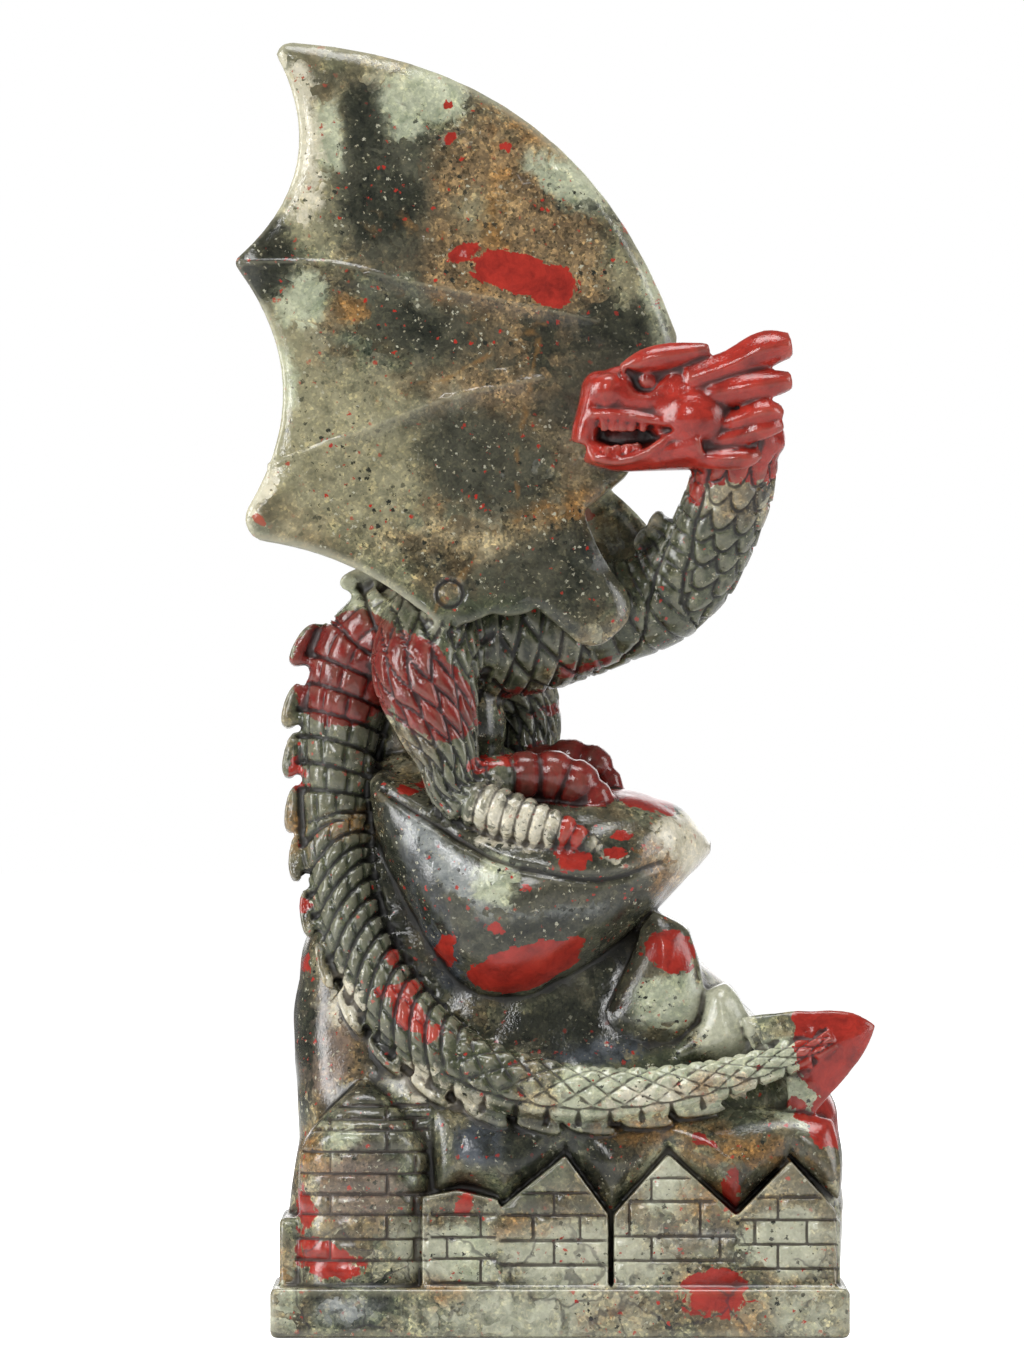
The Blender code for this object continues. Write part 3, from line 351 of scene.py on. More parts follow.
def makeHead():
    y = head["y"]
    face, pockets = bmesh.new(), bmesh.new()
    lump((21.0, y, 145.0), (9.0, 6.6, 7.6), 10, face)
    lock(((22.0, y, 147.6, 6.2), (14.0, y, 147.4, 5.2), (8.6, y, 146.9, 4.7), (5.4, y, 145.6, 3.2)),
         0.95, face)
    lump((6.2, y, 147.8), (3.0, 4.8, 3.4), 0, face)
    lock(((5.6, y, 148.2, 2.3), (5.1, y, 145.0, 2.4), (4.2, y, 142.0, 2.3), (3.8, y, 139.6, 2.2)), 1.7, face)
    lock(((22.0, y, 139.8, 4.4), (15.0, y, 138.0, 2.6), (8.6, y, 137.7, 2.3), (4.2, y, 138.9, 2.2)),
         1.8, face)
    lump((29.2, y, 140.4), (6.2, 5.6, 5.4), 0, face)
    for side in (-1, 1):
        brow = y + side * 4.4
        lump((21.0, y + side * 2.6, 143.6), (5.7, 5.3, 5.2), 0, face)
        lock(((9.6, brow - side * 0.6, 151.0, 1.2), (13.5, brow, 152.8, 1.9), (18.0, brow, 153.6, 2.0),
              (23.4, brow + side * 0.4, 154.6, 0.9)), 0.95, face, 1.4)
        for *places, lift in head["locks"]:
            rows = [(x, brow + side * share * (0.4 + lift), z, radius)
                    for (x, z, radius), share in zip(places, (-0.6, 0.6, 1.0, 0.4))]
            lock(rows, 0.9, face, 1.4)
        pocket = y + side * 6.6
        limb([(17.8, pocket, 142.0, 0.3, 2.4), (15.2, pocket, 141.4, 1.4, 2.8), (12.2, pocket, 140.8, 2.6, 3.1),
              (9.2, pocket, 140.5, 3.2, 3.1), (6.9, pocket, 140.4, 2.6, 2.6)], 24, 8, 2.4, pockets)
        limb([(10.2, y + side * 6.0, 151.2, 0.6, 2.2), (12.8, y + side * 5.8, 149.2, 2.2, 2.9),
              (15.2, y + side * 6.0, 150.0, 1.3, 2.4), (18.4, y + side * 6.4, 151.6, 0.4, 1.8)], 24, 8, 2.0, pockets)
        lump((13.8, y + side * 3.3, 149.6), (1.5, 1.3, 1.3))
        lump((7.4, y + side * 3.2, 148.0), (2.4, 2.2, 2.8), 20, face)
        for lip in (((4.8, 3.9, 144.2), (9.0, 4.3, 144.2), (13.5, 4.7, 143.5), (17.6, 4.8, 142.3)),
                    ((4.8, 3.7, 137.6), (9.0, 4.2, 136.9), (13.5, 4.7, 138.2), (17.6, 4.8, 141.5))):
            lock([(x, y + side * out, z, 0.75) for x, out, z in lip], 1.0, face)
        for row, z, rise in (("upperTeeth", 142.6, -0.02), ("lowerTeeth", 138.5, 0.1)):
            for x in head[row]:
                block.from_mesh(tooth(x, y + side * 3.75, z + rise * (x - 10)))
    lump((10.5, y, 140.4), (6.0, 2.4, 3.2))
    pieces = []
    for form in (face, pockets):
        bmesh.ops.recalc_face_normals(form, faces=form.faces[:])
        mesh = bpy.data.meshes.new("carving")
        form.to_mesh(mesh)
        form.free()
        piece = bpy.data.objects.new("carving", mesh)
        bpy.context.scene.collection.objects.link(piece)
        fuse = piece.modifiers.new("fuse", "REMESH")
        fuse.mode, fuse.voxel_size = "VOXEL", head["grain"]
        pieces.append(piece)
    cut = pieces[0].modifiers.new("cut", "BOOLEAN")
    cut.operation, cut.object = "DIFFERENCE", pieces[1]
    block.from_mesh(evaluated(pieces[0]))
    for piece in pieces:
        bpy.data.objects.remove(piece)


def evaluated(piece):
    graph = bpy.context.evaluated_depsgraph_get()
    return bpy.data.meshes.new_from_object(piece.evaluated_get(graph))


rock = {
    "hill": ((6.5, -43.5, 44.0, -17, 22.5), (18.8, -42.8, 44.6, -18, 22.5), (30.0, -41.2, 44.2, -18, 22),
             (38.0, -41.4, 42.4, -17, 21.5), (46.0, -41.9, 34.0, -14, 20.5), (54.0, -41.4, 27.0, -12, 19),
             (62.0, -39.8, 18.0, -11, 17.5), (70.0, -36.0, 6.0, -10, 16.5), (79.0, -33.0, 2.0, -8, 15),
             (87.0, -31.0, -2.0, -6, 12.5), (92.0, -28.0, -8.0, -1, 8.5)),
    "ledge": ((-30.0, 83.0, 89.0, -7, 6), (-27.0, 72.0, 88.6, -13, 11), (-20.0, 59.0, 86.8, -18.5, 15),
              (-14.0, 52.0, 85.6, -20.5, 17), (-6.3, 51.0, 85.0, -21.5, 18), (0.0, 54.0, 85.4, -21.5, 18),
              (6.3, 58.0, 85.8, -20.5, 17.5), (12.5, 63.4, 85.2, -18, 15.5), (18.0, 69.4, 83.2, -14, 11.5),
              (21.6, 73.0, 80.4, -9.5, 6.5), (23.8, 75.6, 77.4, -4, 0.5)),
    "wave": ((34.0, 6.0, 41.0, -13, 16), (42.0, 7.0, 34.5, -13, 14), (49.0, 8.0, 29.4, -12, 13),
             (53.0, 8.8, 26.4, -11, 12.5), (57.0, 9.6, 23.0, -10, 12), (61.0, 10.6, 21.0, -9, 11),
             (64.0, 12.0, 19.6, -7, 9), (66.0, 13.8, 16.8, -4, 5)),
    "waveLeaves": (
        (((12.5, 63.5, 0.2), (14.9, 66.3, 0.4), (20.4, 63.5, 0.2), (22.9, 53.3, 0.2), (22.0, 50.0, 0.6),
          (16.5, 44.7, 0.8), (9.4, 46.4, 0.8), (7.0, 51.0, -0.8)), -11.0),
        (((22.6, 53.6, 0.3), (26.1, 55.2, 0.3), (29.2, 51.0, 0.3), (31.0, 47.4, 0.3), (29.0, 43.0, 0.4),
          (17.0, 42.0, 0.0), (17.4, 44.8, 0.0), (22.0, 49.0, 0.0)), -12.0),
    ),
    "skirt": (               # its lower edge follows the roofs
        (-20.2, 36.5, 0.6), (-6.0, 35.2, 0.8), (12.0, 34.4, 0.8), (30.0, 35.6, 0.6), (42.6, 33.6, 0.8),
        (43.6, 21.2, 0.0), (36.0, 28.7, 0.0), (27.6, 20.2, 0.0), (16.9, 29.6, 0.0), (8.0, 19.8, 0.0),
        (0.9, 29.2, 0.0), (-8.8, 21.6, 0.0), (-10.4, 23.0, -0.3), (-15.6, 24.2, 0.3), (-19.2, 23.4, 0.0),
    ),
    "skirtFront": -18.6,
    "folds": (               # creases that run over the back of the hill: points (x, z)
        ((-42, 70), (-30, 58), (-24, 40), (-30, 20)), ((-20, 88), (-12, 66), (2, 48), (6, 22)),
        ((2, 74), (14, 58), (26, 46), (42, 40)), ((-6, 40), (8, 34), (24, 22)),
    ),
}


def makeRock():
    boulder(rock["hill"], power=3.6, sides=96)
    boulder(rock["ledge"], power=2.2, upright=False)
    boulder(rock["wave"], power=2.8)
    for outline, front in rock["waveLeaves"]:
        def facesAt(points, edge):
            return np.full(len(edge), front - 1.0) - 4.0 * np.clip(edge / 5.0, 0, 1) ** 0.6, 0 * edge

        slab(arcOutline(outline, 6), 0.8, facesAt)

    def skirtFaces(points, edge):
        lean = 0.32 * np.clip(points[:, 1] - 27, 0, 20)
        return rock["skirtFront"] + lean - 3.2 * np.clip(edge / 5.0, 0, 1) ** 0.5, 0 * edge - 6

    slab(arcOutline(rock["skirt"], 5), 0.8, skirtFaces)


town = {
    "plinthSize": (90.5, 50.0, 7.8),
    "wallFront": -23.4,
    "wallDepth": 9.0,
    "towerX": -30.6,
    "towerHalf": 10.3,
    "tower": ((6, 1.0), (24, 1.0), (29, 0.97), (32.4, 0.80), (36.5, 0.44), (40.0, 0.08)),
    "courses": (             # low x, high x, heights of the lines, and where the upright joints stand
        (-41.4, -20.4, (12.1, 15.4, 19.3, 22.4, 25.6, 29.0, 32.5, 34.2, 36.2), ((-36.0, -22.6), (-27.0,))),
        (-20.2, -9.8, (8.6, 12.4, 15.7, 19.3), ((-12.4,), (-17.6,))),
        (-9.4, 7.6, (11.4, 15.2, 19.1, 22.6), ((-0.9,), (3.1, -4.2))),
        (8.4, 27.3, (12.1, 15.9, 21.3, 25.0), ((14.3, 25.0), (21.9, 10.8))),
        (27.9, 43.2, (10.8, 14.6, 18.4, 22.0), ((34.0,), (38.5, 30.4))),
    ),
    "courseDepth": 0.42,
    "courseWidth": 0.30,
    "walls": (
        ((-21.5, 6), (-21.5, 22), (-16, 23), (-9.6, 21.5), (-9.6, 6)),
        ((-9.3, 6), (-9.3, 20.2), (0.8, 28.4), (7.5, 19.2), (7.5, 6)),
        ((8.4, 6), (8.4, 19.2), (16.9, 28.6), (27.1, 19.4), (27.1, 6)),
        ((28.0, 6), (28.0, 19.4), (36.0, 27.6), (43.2, 19.8), (43.2, 6)),
    ),
}


def makeTown():
    front, depth = town["wallFront"], town["wallDepth"]
    placings = []
    for z, share in smoothRows(town["tower"], 6):
        placings.append(placing((town["towerX"], front + depth, z), (1, 0, 0), (0, 1, 0),
                                town["towerHalf"] * share, depth * min(1.0, share * 1.15)))
    sweepForm(placings, 60, 2.6)
    for outline in town["walls"]:
        form = bmesh.new()
        face = form.faces.new([form.verts.new((x, front, z)) for x, z in outline])
        made = bmesh.ops.extrude_face_region(form, geom=[face])["geom"]
        bmesh.ops.translate(form, vec=(0, depth, 0),
                            verts=[g for g in made if isinstance(g, bmesh.types.BMVert)])
        addForm(form)
    width, deep, height = town["plinthSize"]
    for low, high, across, face in ((0.0, height, width, -deep / 2),
                                    (height / 2, 18.6, width * 0.97, front + depth * 0.7)):
        form = bmesh.new()
        size = deep / 2 - face
        place = Matrix.Translation((0, deep / 2 - size / 2, (low + high) / 2))
        bmesh.ops.create_cube(form, size=1.0, matrix=place @ Matrix.Diagonal((across, size, high - low, 1)))
        bmesh.ops.bevel(form, geom=form.edges[:], offset=height * 0.12, segments=3, profile=0.5,
                        affect="EDGES", material=-1)
        addForm(form)


finish = {
    "grain": 0.38,          # how finely the block is worked
    "smoothing": 3,
    "triangles": 116000,
    "longest": 2.8,         # longest edge left on flat places
    "finest": 1.1,          # and by the smallest blotches
    "sliver": 0.02,         # edges shorter than this are closed up
    "depth": 0.8,           # how far a scale's tip or a band stands over the next one
}


def bands(along, pitch, groove, edge):
    # flat bands with a narrow groove between them: height 0 to 1
    place = (along / pitch % 1.0) * pitch
    return np.clip(np.minimum(place, pitch - place) - groove / 2, 0, edge) / edge


def leaves(along, around, length, width, point, power, groove, tilt):
    # staggered scales with a groove round each, tips pointing on along the limb: height 0 to 1
    def tip(row, steep=False):
        side = np.abs(((around / width + 0.5 * (row % 2)) % 1.0) * 2 - 1)
        if steep:
            return point * power * side ** (power - 1) * 2 * length / width
        return (row + 1 - point * side**power) * length

    row = np.floor(along / length)
    row = row + (along > tip(row))
    own, before = tip(row) - along, along - tip(row - 1)
    edge = np.minimum(own / np.hypot(1, tip(row, True)), before / np.hypot(1, tip(row - 1, True)))
    return np.clip((edge - groove / 2) / 0.55, 0, 1) * (1 - tilt * own / (length * (1 + point)))


def tailCarving(along, angle):
    slant = np.interp(along, (30, 42), (1.0, -3.8))
    pitch = np.where(along < 36, 3.9, 3.3)
    slanted = along + slant * np.sin(angle)
    row = np.floor(slanted / pitch)
    groove = np.interp(along, (30, 42), (0.3, 0.6))
    place = (slanted / pitch % 1.0) * pitch
    ribs = np.clip((np.minimum(place, pitch - place) - groove / 2) / 0.35, 0, 1)
    bricks = bands(angle * 5.6 + 1.9 * row + 0.8 * np.sin(row * 2.3), 3.7, 0.25, 0.45)
    ribs = ribs * (0.35 + 0.65 * bricks) * (1 - 0.4 * place / pitch)
    around = angle * 5.2
    lattice = np.minimum(bands(along + around, 4.8, 0.2, 1.6), bands(along - around, 4.8, 0.2, 1.6))
    tiles = bands(along, 4.6, 0.3, 0.5)
    lower = np.where(angle > 0.62, 0.2 + 0.8 * tiles, 0.95 * lattice)
    seam = np.clip(abs(angle - 0.62) * 4.6 / 0.5, 0, 1)
    share = np.clip((along - 78) / 6, 0, 1)
    return ribs * (1 - share) + lower * seam * share


def neckCarving(along, angle):
    grooveA = np.interp(along, (4, 7.5, 10, 15.5, 19.5, 26), (1.3, 0.75, 0.0, -0.56, -0.85, -1.2))
    grooveB = np.interp(along, (12, 13.5, 15, 19.5, 29, 40), (1.9, 1.4, 0.36, -0.12, -0.57, -0.8))
    line = np.minimum(abs(angle - grooveA), abs(angle - grooveB)) * 7.0
    plates = bands(along - 1.1 * angle, 3.3, 0.2, 0.4)
    outer = leaves(-along, angle * 7.0, 3.7, 4.4, 0.7, 2.2, 0.15, 0.75)
    height = np.where(angle > grooveB, outer, 0.55 + 0.45 * plates)
    return height * np.clip((line - 0.2) / 0.45, 0, 1)


def bodyCarving(along, angle):
    return leaves(-angle * 10.0 - 0.5 * along, along, 5.6, 4.2, 0.85, 1.0, 0.3, 0.55)


def thighCarving(along, angle):
    return leaves(along, angle * 8.0 + 0.5 * along, 4.6, 3.9, 0.8, 1.15, 0.25, 0.6)


def ringCarving(along, angle):
    return 0.35 + 0.65 * bands(along, 2.2, 0.2, 0.6)


def knuckleCarving(along, angle):
    return 0.3 + 0.7 * bands(along + 0.8, 4.4, 0.3, 1.1)


carved = (
    (dragon["tail"], tailCarving, 1.0),
    (dragon["neck"], neckCarving, 1.0),
    (dragon["nearThigh"], thighCarving, 1.0),
    (dragon["farThigh"], thighCarving, 1.0),
    (dragon["toes"][0], ringCarving, 0.9),
    (dragon["toes"][1], knuckleCarving, 1.0),
    (dragon["toes"][2], knuckleCarving, 1.0),
    (dragon["toes"][3], ringCarving, 0.9),
    (dragon["body"], bodyCarving, 1.0),
)


def courseGap(places):
    # how far each place on the town's front lies from the nearest groove between its blocks
    x, z = places[:, 0], places[:, 2]
    gap = np.full(len(places), 3.0)
    for (low, high, heights, joints), outline in zip(town["courses"], (None, *town["walls"])):
        here = (x > low) & (x < high) & (places[:, 1] < town["wallFront"] + town["wallDepth"]) & (z > 8.2)
        if outline:
            here &= z < np.interp(x, *zip(*outline[1:-1])) - 0.3
        for k, height in enumerate(heights):
            gap[here] = np.minimum(gap, abs(z - height))[here]
            if k + 1 < len(heights):
                row = here & (z > height) & (z < heights[k + 1])
                for joint in joints[k % 2]:
                    gap[row] = np.minimum(gap, abs(x - joint))[row]
    hidden = (z > 37.5) | (places[:, 1] > -17) & (x > -18)
    gap[hidden] = 3.0
    return gap


creases = {               # lines cut or raised on the front: points (x, z), front-most y, height, half width
    "wingFingers": (
        ((-50, 168), (-36, 168), (-25, 165.4), (-9.4, 162.3), (6, 159)), -2.0, 0.28, 0.4),
    "lowerFinger": (
        ((-46, 136), (-33.7, 140.6), (-17.2, 146.8), (-3, 150)), -2.0, 0.34, 0.42),
    "ledgeLip": (
        ((-28, 85.8), (-12.5, 76), (-4.7, 73.2), (6.3, 71.4), (16, 74)), -8.0, -0.7, 0.7),
    "dimple": (
        tuple((-17.2 + 2.1 * math.cos(a), 116.2 + 2.1 * math.sin(a)) for a in np.linspace(0, 6.28, 13)),
        -5.0, -0.5, 0.4),
}


def readVerts(mesh, name="co"):
    values = np.empty(len(mesh.vertices) * 3)
    (mesh.vertices if name == "co" else mesh.vertex_normals).foreach_get(
        name if name == "co" else "vector", values)
    return values.reshape(-1, 3)


def carveSkin(mesh):
    places, normals = readVerts(mesh), readVerts(mesh, "normal")
    sunk, taken = np.zeros(len(places)), np.zeros(len(places), bool)
    for rows, carving, depth in carved:
        track = Track(rows, 12)
        reach = track.radii.max() * 1.4
        low, high = track.points.min(0) - reach, track.points.max(0) + reach
        near = np.where(np.all((places > low) & (places < high), axis=1) & ~taken)[0]
        along, share, angle = track.measure(places[near])
        onSkin = (abs(share - 1) < 0.22) & (along > 0) & (along < track.along[-1])
        chosen, keep = near[onSkin], np.clip((0.22 - abs(share[onSkin] - 1)) / 0.1, 0, 1)
        sunk[chosen] = keep * (1 - carving(along[onSkin], angle[onSkin])) * depth * finish["depth"]
        taken[chosen] = True
    facing = normals[:, 1] < -0.25
    walls = facing & (places[:, 1] < -14) & (places[:, 2] < 37)
    groove = np.exp(-((courseGap(places[walls]) / town["courseWidth"]) ** 4))
    sunk[walls] += town["courseDepth"] * groove
    stone = ~taken & (places[:, 2] > 19.2) & (places[:, 2] < 93) & ((places[:, 1] > -16.5) | (places[:, 2] > 40))
    stone &= (abs(places[:, 0]) < 60) & (places[:, 2] < 93)
    swell = np.zeros(len(places))
    for kx, ky, kz, turn in ((0.31, 0.2, 0.22, 0.4), (-0.22, 0.35, 0.33, 2.1), (0.46, 0.4, -0.38, 4.0)):
        swell += np.sin(places @ np.array((kx, ky, kz)) + turn)
    back = np.clip((places[:, 1] - 2) / 8, 0, 1)
    sunk[stone] += (0.12 + 0.22 * back[stone]) * (1.5 - np.abs(swell[stone]))
    behind = np.where(stone & (normals[:, 1] > 0.2))[0]
    for points in rock["folds"]:
        gap = nearestLine(places[behind][:, [0, 2]], smoothRows(points, 6), False)
        sunk[behind] += 0.9 * np.exp(-np.abs(gap / 1.1) ** 1.5)
    for points, front, height, width in creases.values():
        near = np.where(facing & (places[:, 1] < front) & ~taken)[0]
        gap = nearestLine(places[near][:, [0, 2]], smoothRows(points, 4), False)
        sunk[near] -= height * np.exp(-((gap / width) ** 2))
    places -= normals * sunk[:, None]
    mesh.vertices.foreach_set("co", places.ravel())
    mesh.update()


def keepOnePart(form):
    # drops crumbs that hang loose from the block, and slivers without an area
    left, best = set(form.verts), ()
    while left:
        found, queue = [], [left.pop()]
        while queue:
            vert = queue.pop()
            found.append(vert)
            near = {edge.other_vert(vert) for edge in vert.link_edges} & left
            left -= near
            queue.extend(near)
        best = max(best, found, key=len)
    best = set(best)
    bmesh.ops.delete(form, geom=[vert for vert in form.verts if vert not in best], context="VERTS")
    bmesh.ops.remove_doubles(form, verts=form.verts[:], dist=finish["sliver"])
    bmesh.ops.dissolve_degenerate(form, dist=finish["sliver"], edges=form.edges[:])
    bmesh.ops.triangulate(form, faces=[face for face in form.faces if len(face.verts) > 3])
    last = {frozenset(face.verts): face for face in form.faces}
    twins = [face for face in form.faces if last[frozenset(face.verts)] != face]
    bmesh.ops.delete(form, geom=twins, context="FACES_ONLY")
    hanging = [face for face in form.faces if any(edge.is_boundary for edge in face.edges)
               and any(len(edge.link_faces) > 2 for edge in face.edges)]
    bmesh.ops.delete(form, geom=hanging, context="FACES")
    rest = sum(not edge.is_manifold for edge in form.edges)
    print("one part:", len(form.verts), "vertices,", rest, "edges without two faces")


def cutLongEdges(mesh):
    # flat places get enough vertices for the blotches to keep their outlines
    small = [row[:2] for rows in patches.values() for row in rows if min(row[2:4]) < 1.2]
    spots = np.array(small + [(4 - x, 203 - z) for x, z in small])
    form = bmesh.new()
    form.from_mesh(mesh)
    keepOnePart(form)
    for _ in range(5):
        middles = np.array([(edge.verts[0].co + edge.verts[1].co) / 2 for edge in form.edges])[:, [0, 2]]
        away = np.min([np.hypot(*(middles - spot).T) for spot in spots], axis=0)
        limits = np.where(away < 2.0, finish["finest"], finish["longest"])
        long = [edge for edge, limit in zip(form.edges, limits) if edge.calc_length() > limit]
        if not long:
            break
        bmesh.ops.subdivide_edges(form, edges=long, cuts=1, use_grid_fill=False)
        bmesh.ops.triangulate(form, faces=[face for face in form.faces if len(face.verts) > 3])
    keepOnePart(form)
    form.to_mesh(mesh)
    form.free()


def makeStatue():
    mesh = bpy.data.meshes.new("forms")
    block.to_mesh(mesh)
    block.free()
    rough = bpy.data.objects.new("rough", mesh)
    bpy.context.scene.collection.objects.link(rough)
    fuse = rough.modifiers.new("fuse", "REMESH")
    fuse.mode, fuse.voxel_size = "VOXEL", finish["grain"]
    smooth = rough.modifiers.new("smooth", "SMOOTH")
    smooth.factor, smooth.iterations = 0.5, finish["smoothing"]
    skin = evaluated(rough)
    bpy.data.objects.remove(rough)
    print("fused:", len(skin.vertices), "vertices")
    carveSkin(skin)
    markHollows(skin)
    piece = bpy.data.objects.new("carvedDragon", skin)
    bpy.context.scene.collection.objects.link(piece)
    thin = piece.modifiers.new("thin", "DECIMATE")
    thin.ratio = finish["triangles"] / (2 * len(skin.polygons))
    thin.use_collapse_triangulate = True
    final = evaluated(piece)
    piece.modifiers.clear()
    cutLongEdges(final)
    piece.data = final
    print("thinned:", len(final.polygons), "triangles", [a.name for a in final.attributes])
    return piece


